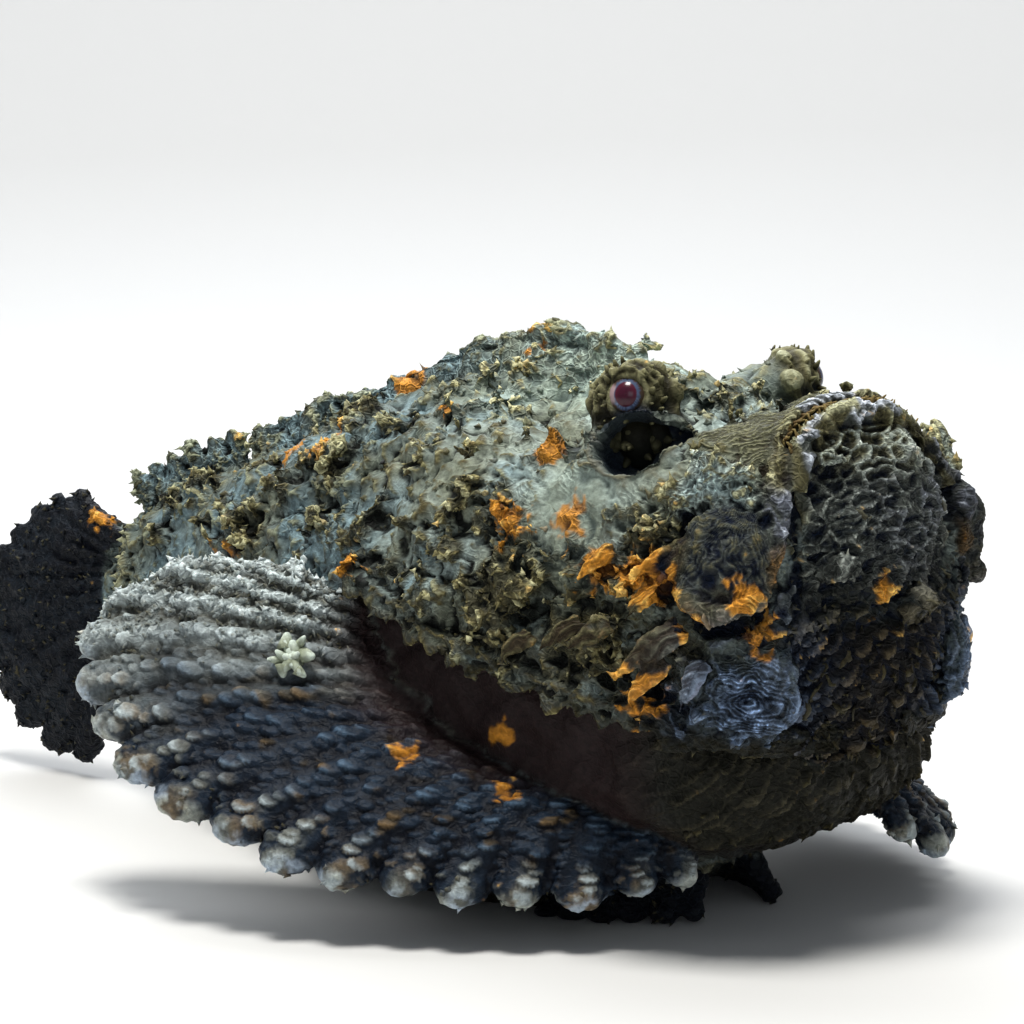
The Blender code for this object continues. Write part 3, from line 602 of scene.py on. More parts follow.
def normals_of(points, triangles):
    """The way that the surface faces at each point."""
    a, b, c = (points[triangles[:, k]] for k in range(3))
    face = np.cross(b - a, c - a)
    total = np.zeros_like(points)
    for k in range(3):
        for axis in range(3):
            total[:, axis] += np.bincount(triangles[:, k], face[:, axis], len(points))
    return total / np.maximum(np.linalg.norm(total, axis=1, keepdims=True), 1e-12)


def on_side(place, side):
    """A place or a direction given for the left side, on the side asked for."""
    return np.array([place[0], side * place[1], place[2]], float)


def area_of_points(points, triangles):
    """The share of the surface that belongs to each point."""
    a, b, c = (points[triangles[:, k]] for k in range(3))
    face = np.linalg.norm(np.cross(b - a, c - a), axis=1) / 6.0
    return sum(np.bincount(triangles[:, k], face, len(points)) for k in range(3))


def eye_axes(side):
    """An eye's middle, the way that it faces, and the two directions across that."""
    facing = unit(on_side(EYE_FACING, side))
    across = unit(np.cross(facing, (0.0, 0.0, 1.0)))
    return on_side(EYE_PLACE, side), facing, across, np.cross(across, facing)


# The body


def body_rings(stations, first, last, rings, spokes):
    """Rings of skin round the body between two places along its stations."""
    s = spline(stations, np.linspace(first, last, rings))
    turn = circle(spokes)
    side, up = np.sin(turn), np.cos(turn)
    x = np.repeat(s[:, 0:1], spokes, axis=1)
    y = s[:, 1:2] * np.sign(side) * np.abs(side) ** SIDE_POWER
    above = s[:, 3:4] + (s[:, 4:5] - s[:, 3:4]) * np.clip(up, 0.0, None) ** TOP_POWER
    below = s[:, 3:4] - (s[:, 3:4] - s[:, 2:3]) * np.clip(-up, 0.0, None) ** BELLY_POWER
    return np.stack([x, y, np.where(up > 0, above, below).clip(min=0.0)], axis=2)


def relief(points):
    """How far the skin stands out: the named knobs and pits, then the coarse lumps."""
    height = np.zeros(len(points))
    for x, side, z, radius, rise in RELIEF:
        centre = np.stack([
            np.full(len(points), x), np.copysign(side, points[:, 1]), np.full(len(points), z)
        ], axis=1)
        height += rise * np.exp(-((points - centre) ** 2).sum(axis=1) / radius**2)
    lumps = np.array([
        noise.noise(Vector(p)) + 0.5 * noise.noise(Vector(p) * 2.1) for p in points / LUMP_SIZE
    ])
    return height + ROUGHNESS * lumps


def swollen(shape):
    """The shape with its relief, a little inside the solids, and pressed flat on the floor."""
    points, triangles = shape
    normals = normals_of(points, triangles)
    low = points[:, 2] < FLAT_SKIN_Z
    moved = points + normals * (relief(points) - CORE_DEPTH)[:, None]
    moved[:, 2] = np.where(low, 0.0, moved[:, 2].clip(min=0.0))
    return moved, triangles


def place_of_x(stations, x):
    """Where along the stations the body reaches x."""
    fine = np.linspace(0.0, 1.0, 400)
    reached = spline(stations, fine)[:, 0]
    return float(np.interp(-x, -reached, fine))


def edge_height(x):
    """How high the gill cover's lower edge runs at x."""
    return np.interp(x, [p[0] for p in GILL_EDGE], [p[1] for p in GILL_EDGE])


def build_head(flesh):
    """The head down to the gill cover's edge, which stands proud of the trunk below it."""
    last = place_of_x(HEAD_STATIONS, HEAD_END_X)
    rings = body_rings(HEAD_STATIONS, 0.0, last, 130, 240)
    x, y, z = rings[..., 0], rings[..., 1], rings[..., 2]
    sink = step(30.0, 7.0, x) * step(68.0, 82.0, z)
    rings[..., 1] = y * (1.0 - 0.13 * sink)
    rings[..., 2] = np.maximum(z - 2.5 * sink * step(90.0, 104.0, z), edge_height(x))
    shape = swollen(closed_rings(rings))
    points = shape[0]
    lowest = edge_height(points[:, 0]) - 0.6
    points[:, 2] = np.maximum(points[:, 2], lowest)
    flesh.add("head", shape)
    return shape


def build_trunk(flesh):
    """The trunk from under the gill covers to the root of the tail fin."""
    shape = swollen(closed_rings(body_rings(TRUNK_STATIONS, 0.0, 1.0, 220, 200)))
    flesh.add("trunk", shape)
    return shape


def surface_of(shape):
    """A shape's surface, to find the nearest place on it."""
    points, triangles = shape
    return BVHTree.FromPolygons([Vector(p) for p in points], [tuple(t) for t in triangles.tolist()])


def mouth_line(inwards, outwards, count=60):
    """The mouth's arch, moved towards the jaw and out of the mouth, with the way that each points."""
    half = np.array(MOUTH_HALF[:6])
    line = np.concatenate([half[:0:-1] * (1.0, -1.0, 1.0), half])
    path = spline(line, np.linspace(0.0, 1.0, count))
    forth = np.gradient(path, axis=0)
    out = path - np.array(MOUTH_ROOT) * (1.0, 0.0, 1.0)
    out = unit(out - forth * ((out * forth).sum(axis=1) / (forth**2).sum(axis=1))[:, None])
    jawwards = unit(np.cross(forth, out))
    return path + jawwards * inwards + out * outwards, jawwards, out


def sagged(points):
    """The left corner of the mouth hangs a little lower than the right one."""
    x, y, z = points.T
    share = step(4.0, 20.0, y) * step(86.0, 100.0, x) * step(80.0, 97.0, z)
    return points - (share * CORNER_DROP)[:, None] * (0.0, 0.0, 1.0)


def rough_radii(count, radius, end, seed, amount):
    """Radii that swell from both ends to the middle, each a little off by chance."""
    draw = np.random.default_rng(seed)
    swell = end + (radius - end) * np.sin(np.pi * np.linspace(0.0, 1.0, count)) ** 0.6
    return swell * (1.0 + amount * draw.uniform(-1.0, 1.0, count))


COLUMN_PATH = (
    (99.5, 21.0, 102.6), (101.5, 24.0, 98.0), (103.2, 26.8, 92.0), (104.6, 27.8, 86.5),
    (105.2, 28.2, 80.0), (104.8, 29.0, 74.0),
)
COLUMN_RADII = ((0.0, 0.3, 0.5, 0.62, 0.75, 1.0), (1.2, 2.2, 3.6, 3.4, 2.2, 1.2))
FAN_EDGE_PATH = (
    (92.2, 39.0, 81.0), (93.0, 40.4, 74.0), (96.6, 39.8, 69.8), (101.4, 36.6, 69.6),
    (105.0, 31.6, 73.0),
)
MOUTH_SWELLINGS = (  # part, place and half sizes of the swellings beside the mouth
    ("column", (104.6, 28.6, 85.0), (2.2, 2.2, 2.2)),
    ("column", (105.6, 26.6, 88.0), (2.0, 2.0, 2.0)),
    ("column", (103.6, 28.6, 90.0), (1.9, 1.9, 1.9)),
    ("clump", (94.5, 33.6, 92.5), (6.4, 3.6, 6.6)),
    ("clump", (99.2, 30.6, 90.5), (3.6, 3.2, 5.6)),
    ("clump", (89.0, 36.6, 89.0), (3.4, 3.6, 4.6)),
    ("clump", (93.0, 34.6, 98.0), (4.6, 3.0, 3.0)),
    ("fan", (98.2, 33.8, 79.0), (8.8, 5.0, 10.4)),
    ("fan", (94.6, 36.6, 76.0), (5.0, 4.6, 6.4)),
)
FAN_KNOBS = (  # place and size
    ((106.2, 27.0, 71.4), 1.9),
    ((105.6, 28.6, 69.0), 1.5),
    ((107.2, 25.4, 73.6), 1.4),
    ((106.6, 26.4, 67.6), 1.3),
)
MOUTH_FACING = (0.62, 0.78, 0.0)


def build_mouth(flesh):
    """Both lips, the bulging jaw, the column and clumps beside it, and the fan below them."""
    upper = mouth_line(-2.5, 0.2)[0]
    flesh.add("upper_lip", rope(upper, rough_radii(len(upper), 1.8, 1.2, 3, 0.08)))
    lower = mouth_line(2.5, 0.3)[0]
    flesh.add("lower_lip", rope(lower, rough_radii(len(lower), 2.5, 1.6, 4, 0.08)))
    flesh.add("jaw", blob((96.5, 0.0, 82.5), (21.6, 16.4, 22.6), power=0.92))
    flesh.add("jaw", blob((97.0, 0.0, 63.5), (23.5, 13.6, 18.0), power=0.92))
    for place, size in JAW_LUMPS:
        wide = (size * 1.4, size * 0.7, size * 0.8)
        flesh.add("jaw", blob(place, wide, (1.0, place[1] / 30.0, 0.3), 1.0))
    s = np.linspace(0.0, 1.0, 40)
    for _, side in SIDES:
        outwards = on_side(MOUTH_FACING, side)
        column = spline([on_side(p, side) for p in COLUMN_PATH], s)
        radii = np.interp(s, *COLUMN_RADII) * rough_radii(40, 1.0, 1.0, 5 + side, 0.12)
        flesh.add("column", rope(column, radii))
        for name, place, size in MOUTH_SWELLINGS:
            flesh.add(name, blob(on_side(place, side), size, outwards))
        fan_edge = spline([on_side(p, side) for p in FAN_EDGE_PATH], s)
        flesh.add("fan", rope(fan_edge, rough_radii(40, 2.2, 1.4, 8, 0.05)))
        for place, size in FAN_KNOBS:
            flesh.add("knob", blob(on_side(place, side), (size * 0.8, size * 0.8, size), outwards))
        flesh.add("cheek_roll", blob(on_side((98.5, 30.5, 53.0), side), (12.0, 4.6, 9.5), outwards))


def build_lumps(flesh, shape, count, seed, density):
    """Torn lumps of skin that stand in drifts, two or three together, and lean back."""
    points, triangles = shape
    draw = np.random.default_rng(seed)
    normals = normals_of(points, triangles)
    drifts = 0.08 + 0.92 * step(-0.15, 0.45, perlin(points, 13.0, 15))
    weight = area_of_points(points, triangles) * drifts * density(beside(points))
    for k, root in enumerate(draw.choice(len(points), count, p=weight / weight.sum())):
        size = draw.uniform(0.7, 1.5) * (0.7 + 0.5 * drifts[root])
        for item in range(draw.integers(1, 4)):
            way = normals[root] + 0.45 * PEAK_LEAN + draw.normal(0.0, 0.35, 3)
            place = points[root] + draw.normal(0.0, 0.55 * size, 3)
            wide = size * draw.uniform(0.6, 1.1)
            tall = size * draw.uniform(1.2, 2.7)
            flesh.add("horn", spike(place, way, wide, tall, seed + 3 * k + item))


def head_density(p):
    """Where the head's lumps stand: thick along the lower cheek, none on calm skin or round the eyes."""
    x, y, z = p[:, 0], p[:, 1], p[:, 2]
    lower = 1.0 + 1.6 * step(90.0, 66.0, z) * step(30.0, 50.0, x)
    open_skin = step(98.0, 88.0, x) * step(1.0, 4.0, z - edge_height(x))
    bare = np.maximum(bell(p, CALM_CHEEK, 13.0), bell(p, EYE_PLACE, 15.0))
    bare = np.maximum(bare, bell(p, PIT_BALLS[0][0], 14.0))
    snout = step(80.0, 86.0, x) * step(96.0, 100.0, z)
    return lower * open_skin * (1.0 - 0.95 * bare.clip(0.0, 1.0)) * (1.0 - 0.85 * snout)


def trunk_density(p):
    """Where the trunk's lumps stand: behind the gill covers, down to the flank."""
    return step(12.0, 0.0, p[:, 0]) * step(34.0, 46.0, p[:, 2]) * step(-112.0, -100.0, p[:, 0])


CHEEK_FLAPS = (  # root, tip, half width, half thickness
    ((94.0, 41.0, 67.0), (82.0, 48.4, 56.0), 3.8, 1.9),
    ((90.0, 42.0, 60.0), (84.5, 47.4, 50.5), 3.0, 1.4),
    ((80.0, 46.4, 66.5), (73.0, 52.4, 60.5), 3.2, 2.2),
    ((72.0, 46.8, 66.0), (64.0, 50.6, 59.0), 2.8, 1.2),
    ((60.0, 47.6, 62.0), (52.5, 50.6, 55.0), 2.8, 1.2),
    ((90.5, 41.5, 80.0), (84.5, 47.0, 75.0), 2.6, 2.2),
    ((92.6, 38.8, 80.5), (87.4, 45.6, 69.8), 3.4, 2.8),
    ((88.0, 41.6, 74.0), (84.0, 47.4, 67.0), 2.6, 2.0),
    ((78.0, 43.5, 80.0), (72.5, 48.5, 73.5), 2.6, 1.9),
    ((96.5, 38.5, 60.0), (94.0, 42.5, 50.5), 3.0, 1.2),
    ((93.0, 40.0, 82.0), (88.0, 43.6, 77.6), 2.4, 1.4),
)
HEAD_HORNS = (  # place, direction, radius, height
    ((50.6, 32.0, 98.2), (-0.1, 0.8, 0.9), 1.9, 4.6),
    ((51.8, 34.6, 94.8), (-0.1, 1.0, 0.5), 1.8, 4.2),
    ((57.9, 31.9, 94.1), (0.1, 0.9, 0.7), 1.4, 3.4),
    ((30.0, 16.0, 112.5), (-0.3, 0.3, 1.0), 2.0, 3.0),
    ((75.7, 47.0, 63.5), (0.0, 1.0, -0.2), 2.4, 4.2),
    ((78.5, 46.6, 66.0), (0.1, 1.0, 0.1), 1.8, 3.6),
    ((55.1, 48.0, 70.4), (-0.2, 1.0, 0.0), 2.4, 3.8),
    ((86.0, 42.6, 84.6), (0.0, 1.0, 0.3), 2.0, 3.8),
    ((18.9, 30.0, 102.0), (-0.4, 0.8, 0.8), 1.6, 3.6),
    ((36.0, 42.0, 95.0), (-0.3, 1.0, 0.4), 1.6, 3.2),
    ((83.6, 17.0, 104.6), (-0.15, 0.25, 1.0), 1.1, 4.4),
)


def spike(place, direction, radius, height, seed):
    """A knobbly, blunt horn rooted under the skin."""
    direction = unit(np.asarray(direction, float))
    steps = np.linspace(-0.5, 1.0, 10)
    path = np.asarray(place, float) + direction * (steps * height)[:, None]
    radii = radius * np.interp(steps, (-0.5, 0.0, 0.6, 0.9, 1.0), (1.5, 1.15, 0.72, 0.5, 0.22))
    draw = np.random.default_rng(seed)
    return rope(path, radii * draw.uniform(0.85, 1.15, len(radii)), sides=9)


def build_cheeks(flesh, surface):
    """The flaps and horns of the cheeks, and the horns that stand in the orange patches."""
    for _, side in SIDES:
        for root, tip, width, thick in CHEEK_FLAPS:
            flesh.add("cheek_flap", leaf(
                on_side(root, side), on_side(tip, side), on_side((0.3, 1.0, 0.0), side), width, thick,
                curve=on_side((0.0, 0.9, 0.0), side)))
        for k, (place, way, radius, height) in enumerate(HEAD_HORNS):
            flesh.add("horn", spike(on_side(place, side), on_side(way, side), radius, height, k))
    draw = np.random.default_rng(SEED + 6)
    for k, (x, y, z, radius, strength) in enumerate(ORANGE_PATCHES):
        if strength < 0.8 or z < 50.0:
            continue
        for item in range(4):
            spot = np.array((x, y, z)) + draw.normal(0.0, 0.38 * radius, 3)
            way = np.array((-0.5, 1.0 * np.sign(y), 0.25)) + draw.normal(0.0, 0.3, 3)
            near, normal = surface.find_nearest(Vector(spot))[:2]
            way = way / np.linalg.norm(way) + np.array(normal)
            wide = draw.uniform(1.1, 1.9)
            tall = draw.uniform(1.8, 3.4)
            flesh.add("horn", spike(near, way, wide, tall, 50 + 4 * k + item))


def build_turrets(flesh):
    """The stalks that the eyes sit on, and their lids."""
    for _, side in SIDES:
        centre, facing, across, over = eye_axes(side)
        root = centre - facing * TURRET_DEPTH - (0.0, 0.0, 4.0)
        path = spline([root, root + (centre - root) * 0.5, centre - facing * 1.5,
                       centre + facing * 1.2], np.linspace(0.0, 1.0, 16))
        radii = TURRET_RADIUS * np.interp(
            np.linspace(0.0, 1.0, 16), (0.0, 0.5, 0.8, 1.0), (1.2, 1.0, 0.94, 0.58))
        flesh.add("turret", rope(path, radii, sides=28))
        for angle, out, forward, size in TURRET_LOBES:
            turned = math.radians(angle)
            away = math.cos(turned) * across * side + math.sin(turned) * over
            spot = centre + facing * forward + out * away
            flesh.add("turret", blob(spot, (size, size * 0.9, size), facing, 0.9))
        turn = circle(48)
        ring = centre + facing * LID_FORWARD + LID_RADIUS * around(turn, across, over * 0.96)
        tube = ring[:, None] + LID_STOUT * around(circle(12), around(turn, across, over), facing)
        rows = np.concatenate([tube, tube[:1]])
        flesh.add("lid", (rows.reshape(-1, 3), grid_triangles(len(rows), 12, True)))


def build_gill_edge(flesh, head):
    """The gill cover's free edge: a thin skirt with pointed lobes that hangs over the trunk."""
    points = head[0]
    for _, side in SIDES:
        x = np.linspace(5.0, 106.0, 260)
        near = points[:, 1] * side > 4.0
        low = np.abs(points[:, 2] - edge_height(points[:, 0])) < 2.4
        some = points[near & low]
        width = np.array([
            (some[np.abs(some[:, 0] - value) < 2.2][:, 1] * side).max(initial=6.0) for value in x
        ])
        width = np.convolve(np.pad(width, 7, mode="edge"), np.ones(15) / 15, mode="valid")
        z = edge_height(x)
        run = x / 7.4 + 0.35 * np.sin(x / 6.0)
        lobe = 1.0 - np.abs(2 * (run % 1.0) - 1.0) ** 1.3
        big = 0.55 + 0.45 * np.sin(1.7 * np.floor(run)) ** 2
        drop = (1.0 + 3.6 * lobe * big) * step(4.0, 12.0, x) * (1.0 - 0.75 * step(84.0, 106.0, x))
        back = 2.2 * lobe * big
        levels = ((5.0, -1.6, 0.0), (1.6, 0.2, 0.0), (0.0, 0.5, 0.45), (-1.0, 0.6, 1.0))
        outer = []
        for up, out, share in levels:
            outer.append(np.stack([
                x - back * share, side * (width + out), z + np.maximum(up, 0.0) - drop * share
            ], axis=1))
        inner = [row - on_side((0.0, thick, 0.0), side) for row, thick in
                 zip(outer[::-1], (1.0, 1.7, 2.2, 2.6))]
        rings = np.stack(outer + inner, axis=1)
        flesh.add("gill_edge", closed_rings(rings))


def fin_shape(base, tips, rays, thick, swell, notch, ridge, seed, lobed, rows, round_power, columns=12):
    """A fleshy fin with round rays, and each point's place along the base and along its ray.

    notch sets the membranes back at the margin, and lobed lifts one edge of each ray's end over
    its neighbour, so that the ends lie like the tiles of a roof.
    """
    draw = np.random.default_rng(seed)
    t = np.linspace(0.0, 1.0, rays * columns + 1)
    ray = np.minimum((t * rays).astype(int), rays - 1)
    within = 2 * (t * rays - ray) - 1.0
    stretch = 1.0 + draw.uniform(-0.03, 0.03, rays)[ray]
    reach = stretch * (1.0 - notch * np.abs(within) ** round_power)
    s = np.linspace(0.0, 1.0, rows)
    r = reach[:, None] * s[None]
    root, tip = spline(base, t), spline(tips, t)
    middle = root[:, None] + (tip - root)[:, None] * r[..., None]
    middle = middle + np.asarray(swell) * (4 * r * (1 - r))[..., None]
    across = np.gradient(middle, axis=0)
    along = np.gradient(middle, axis=1)
    normal = unit(np.cross(across, along))
    stout = 1.0 + ridge * (1.0 - within**2)[:, None] * step(0.02, 0.2, s)[None]
    club = 1.0 + 0.45 * lobed * (step(0.80, 0.93, s)[None] * (1.0 - within[:, None] ** 2))
    closing = np.sqrt(np.clip(1.0 - (np.clip(s - 0.93, 0.0, None) / 0.07) ** 2, 0.004, 1.0))
    half = (thick[0] + (thick[1] - thick[0]) * s)[None] * stout * club * closing[None]
    lift = 1.2 * lobed * within[:, None] * step(0.70, 0.95, s)[None]
    middle = middle + normal * lift[..., None]
    top = middle + normal * half[..., None]
    under = middle - normal * half[..., None]
    rings = np.concatenate([top, under[:, ::-1]], axis=1)
    points, triangles = closed_rings(rings)
    both = np.concatenate([np.repeat(t[:, None], 2 * rows, 1).ravel(), [0.0, 1.0]])
    reached = np.concatenate([np.concatenate([r, r[:, ::-1]], 1).ravel(), [0.5, 0.5]])
    points[:, 2] = points[:, 2].clip(min=0.0)
    return (points, triangles), both, reached


STRAIGHT = (0.0, 0.0, 0.0)
PECTORAL_RAYS = 18
MIDDLE_FINS = (  # name, base, tips, rays, thickness, swell, notch, ridge, draw, lobed, rows, round_power
    ("dorsal", DORSAL_BASE, DORSAL_TIPS, 13, (4.2, 1.6), STRAIGHT, 0.08, 0.4, 5, 0.0, 40, 1.7),
    ("soft_dorsal", SOFT_BASE, SOFT_TIPS, 6, (2.7, 1.1), STRAIGHT, 0.14, 0.5, 6, 0.0, 40, 2.4),
    ("anal", ANAL_BASE, ANAL_TIPS, 8, (2.7, 1.2), STRAIGHT, 0.12, 0.5, 7, 0.0, 50, 2.4),
    ("caudal", CAUDAL_BASE, CAUDAL_TIPS, 12, (3.3, 1.2), (0.0, -4.0, 0.0), 0.09, 0.5, 8, 0.5, 80, 2.4),
)


def build_fins(flesh):
    """The paired fins of each side, then the fins along the middle."""
    for name, side in SIDES:
        sideways = np.array((1.0, side, 1.0))
        tips = LEFT_PECTORAL_TIPS if side > 0 else RIGHT_PECTORAL_TIPS
        flesh.add("pectoral_" + name, *fin_shape(
            PECTORAL_BASE * sideways, tips, PECTORAL_RAYS, (2.8, 1.5), (-1.0, 4.5 * side, 4.5),
            0.075, 0.16, 11 + side, 1.0, 110, 2.4, columns=14))
        flesh.add("pelvic_" + name, *fin_shape(
            PELVIC_BASE * sideways, PELVIC_TIPS * sideways, 6, (2.4, 1.2), STRAIGHT, 0.10, 0.4,
            31 + side, 0.4, 40, 2.4))
    for name, *shape in MIDDLE_FINS:
        flesh.add(name, *fin_shape(*shape))


def fused(flesh):
    """One closed skin round all the shapes, with each point's part and its place on its fin."""
    points, triangles, part, ray, along = flesh.joined()
    raw = mesh_of("raw", points, triangles)
    raw.modifiers.new("fuse", "REMESH")
    raw.modifiers["fuse"].mode = "VOXEL"
    raw.modifiers["fuse"].voxel_size = SKIN_VOXEL * METRE
    graph = bpy.context.evaluated_depsgraph_get()
    made = bpy.data.meshes.new_from_object(raw.evaluated_get(graph))
    made.calc_loop_triangles()
    skin = np.empty(len(made.vertices) * 3, np.float32)
    made.vertices.foreach_get("co", skin)
    skin = skin.reshape(-1, 3).astype(float) / METRE
    faces = np.empty(len(made.loop_triangles) * 3, np.int32)
    made.loop_triangles.foreach_get("vertices", faces)
    faces = faces.reshape(-1, 3)
    bpy.data.objects.remove(raw)
    bpy.data.meshes.remove(made)
    tree = KDTree(len(points))
    for k, point in enumerate(points):
        tree.insert(point, k)
    tree.balance()
    nearest = np.array([tree.find(point)[1] for point in skin])
    of_part = part[nearest]
    of_ray, of_along = ray[nearest], along[nearest]
    on_fin = np.flatnonzero(part_is(of_part, flesh.names, *filter(is_fin, flesh.names)))
    for k in on_fin:
        found = tree.find_n(skin[k], 4)
        same = [(i, d) for _, i, d in found if part[i] == of_part[k]]
        weight = np.array([1.0 / (d + 0.05) for _, d in same])
        rows = [i for i, _ in same]
        of_ray[k] = (ray[rows] * weight).sum() / weight.sum()
        of_along[k] = (along[rows] * weight).sum() / weight.sum()
    return skin, faces, of_part, of_ray, of_along


def is_fin(name):
    """Whether a part's name is a fin's."""
    return name.split("_")[0] in ("pectoral", "pelvic", "dorsal", "soft", "anal", "caudal")


def edges_of(triangles):
    """The pairs of points that share an edge."""
    pairs = np.concatenate([triangles[:, [0, 1]], triangles[:, [1, 2]], triangles[:, [2, 0]]])
    return np.unique(np.sort(pairs, axis=1), axis=0)


def smoothed(values, edges, times):
    """Values averaged with their neighbours over the mesh."""
    count = np.bincount(edges.ravel(), minlength=len(values))[:, None]
    flat = values.reshape(len(values), -1)
    for _ in range(times):
        total = np.zeros_like(flat)
        for axis in range(flat.shape[1]):
            total[:, axis] = np.bincount(edges[:, 0], flat[edges[:, 1], axis], len(flat))
            total[:, axis] += np.bincount(edges[:, 1], flat[edges[:, 0], axis], len(flat))
        flat = 0.5 * flat + 0.5 * total / count
    return flat.reshape(values.shape)


# Fine relief of the skin

CRUST_KEPT = {  # how much of the crust each kind of skin keeps
    "pit": 0.0, "root": 0.14, "throat": 0.25, "belly": 0.25, "fan": 0.10, "column": 0.55,
    "swirl": 0.25, "jaw": 0.18, "snout": 0.30, "lip": 0.22, "turret": 0.45, "flap": 0.25,
    "edge": 0.35, "knob": 0.5, "pectoral": 0.0, "tail": 0.35, "dorsal": 0.9, "chin": 0.05,
}
NET_SHARES = {  # how strongly the fine net shows on each kind of skin
    "lump": 0.75, "jaw": 0.8, "lip": 0.5, "clump": 0.8, "snout": 0.3, "fan": 0.35, "pit": 0.0,
    "root": 0.10, "throat": 0.25, "belly": 0.2, "swirl": 0.7, "knob": 0.6, "column": 0.7,
    "turret": 0.15, "flap": 0.2, "edge": 0.35, "chin": 0.35, "tail": 0.5, "dorsal": 0.8,
}
LONG_WAY = np.array((0.95, 0.0, -0.31))  # the lie of the crests along the gill cover
FAN_PIVOT = (101.5, 32.4, 88.5)
SWIRL = (103.0, 33.5, 52.0)
SECOND_SWIRL = (90.0, 40.0, 49.0)
CARVED_FROM = 80.0  # the mouth and the fan are carved in front of this x
FAR = 99.0
PIT_WAY = (-0.30, -0.80, -0.52)  # the way that the pits go into the head


def beside(points):
    """The points with both sides folded onto the left one."""
    return np.stack([points[:, 0], np.abs(points[:, 1]), points[:, 2]], axis=1)


def distance_to_line(flat, line):
    """How far points of a plane lie from the nearest point of a line in it."""
    best = np.full(len(flat), FAR)
    for spot in line:
        best = np.minimum(best, np.hypot(flat[:, 0] - spot[0], flat[:, 1] - spot[1]))
    return best


def cut_mouth(points, chosen, near, painted_shade):
    """Cuts the gap between the lips into the chosen points, and paints shade along it."""
    away = np.full(len(near), FAR)
    opening = np.zeros((len(near), 3))
    for spot in spline(MOUTH_HALF, np.linspace(0.0, 1.0, 200)):
        far = np.linalg.norm(near - spot, axis=1)
        closer = far < away
        away = np.where(closer, far, away)
        opening[closer] = spot - np.array(MOUTH_ROOT)
    opening = unit(opening)
    opening[:, 1] *= np.sign(points[chosen, 1])
    z = near[:, 2]
    reach = step(46.0, 54.0, z)
    high = step(88.0, 98.0, z)
    wide = 1.5 + 0.7 * high * step(24.0, 12.0, near[:, 1])
    depth = (2.6 + 2.6 * high) * np.exp(-((away / wide) ** 2.5)) * reach
    points[chosen] -= opening * depth[:, None]
    # Painted shade along the mouth's gap.
    painted_shade[chosen] = np.exp(-((away / 1.9) ** 2)) * reach


def cut_fan_crease(points, normals, chosen, near, on_fan, painted_shade):
    """Cuts the crescent under the fan into the chosen points, leaves the fan itself, and paints shade in
    the crescent.
    """
    rim = spline(FAN_RIM, np.linspace(0.0, 1.0, 120))
    away = distance_to_line(near[:, [0, 2]], rim) + 4.0 * step(30.0, 26.0, near[:, 1])
    away += 6.0 * step(0.2, -0.1, normals[chosen, 0] + np.abs(normals[chosen, 1]))
    crease = np.exp(-((away / 1.7) ** 2)) * ~on_fan
    points[chosen] -= normals[chosen] * (2.4 * crease)[:, None]
    # Painted shade in the crescent under the fan.
    painted_shade[chosen] = np.maximum(painted_shade[chosen], crease)


def scoop_pits(points, on_turret, painted_shade):
    """Scoops out the pit before each eye with balls pushed in along one way, and paints shade in it."""
    for centre, radius in PIT_BALLS:
        for _, side in SIDES:
            inwards = unit(on_side(PIT_WAY, side))
            rest = points - on_side(centre, side)
            sunk = rest @ inwards
            off_axis = (rest**2).sum(axis=1) - sunk**2
            inside = (off_axis < radius**2) & ~on_turret & (sunk < radius)
            floor = np.sqrt(np.clip(radius**2 - off_axis, 0.0, None))
            push = np.where(inside & (sunk > -1.6 * radius), np.clip(floor - sunk, 0.0, None), 0.0)
            points += inwards * push[:, None]
            # Painted shade in the pit.
            painted_shade = np.maximum(painted_shade, 0.9 * step(0.3, 3.5, push))
    return painted_shade


def part_is(part, names, *wanted):
    """Whether each point belongs to one of the wanted parts."""
    return np.isin(part, [k for k, name in enumerate(names) if name in wanted])


def carved(points, normals, folded, part, names):
    """Cuts the mouth's gap, the fan's crescent and the eyes' pits, and tells how much painted shade each
    point gets there and under each turret.
    """
    painted_shade = np.zeros(len(points))
    chosen = np.flatnonzero(folded[:, 0] > CARVED_FROM)
    near = folded[chosen]
    cut_mouth(points, chosen, near, painted_shade)
    on_fan = part_is(part[chosen], names, "fan", "knob", "column")
    cut_fan_crease(points, normals, chosen, near, on_fan, painted_shade)
    painted_shade = scoop_pits(points, part_is(part, names, "turret", "lid"), painted_shade)
    # Painted shade on the ledge under each turret.
    return np.maximum(painted_shade, 0.92 * step(0.25, 0.6, bell(beside(points), UNDER_TURRET, 6.0)))


def stripes(phase, sharp=1.5):
    """Ridges, one to each whole number of the phase."""
    return (0.5 + 0.5 * np.cos(2 * np.pi * phase)) ** sharp


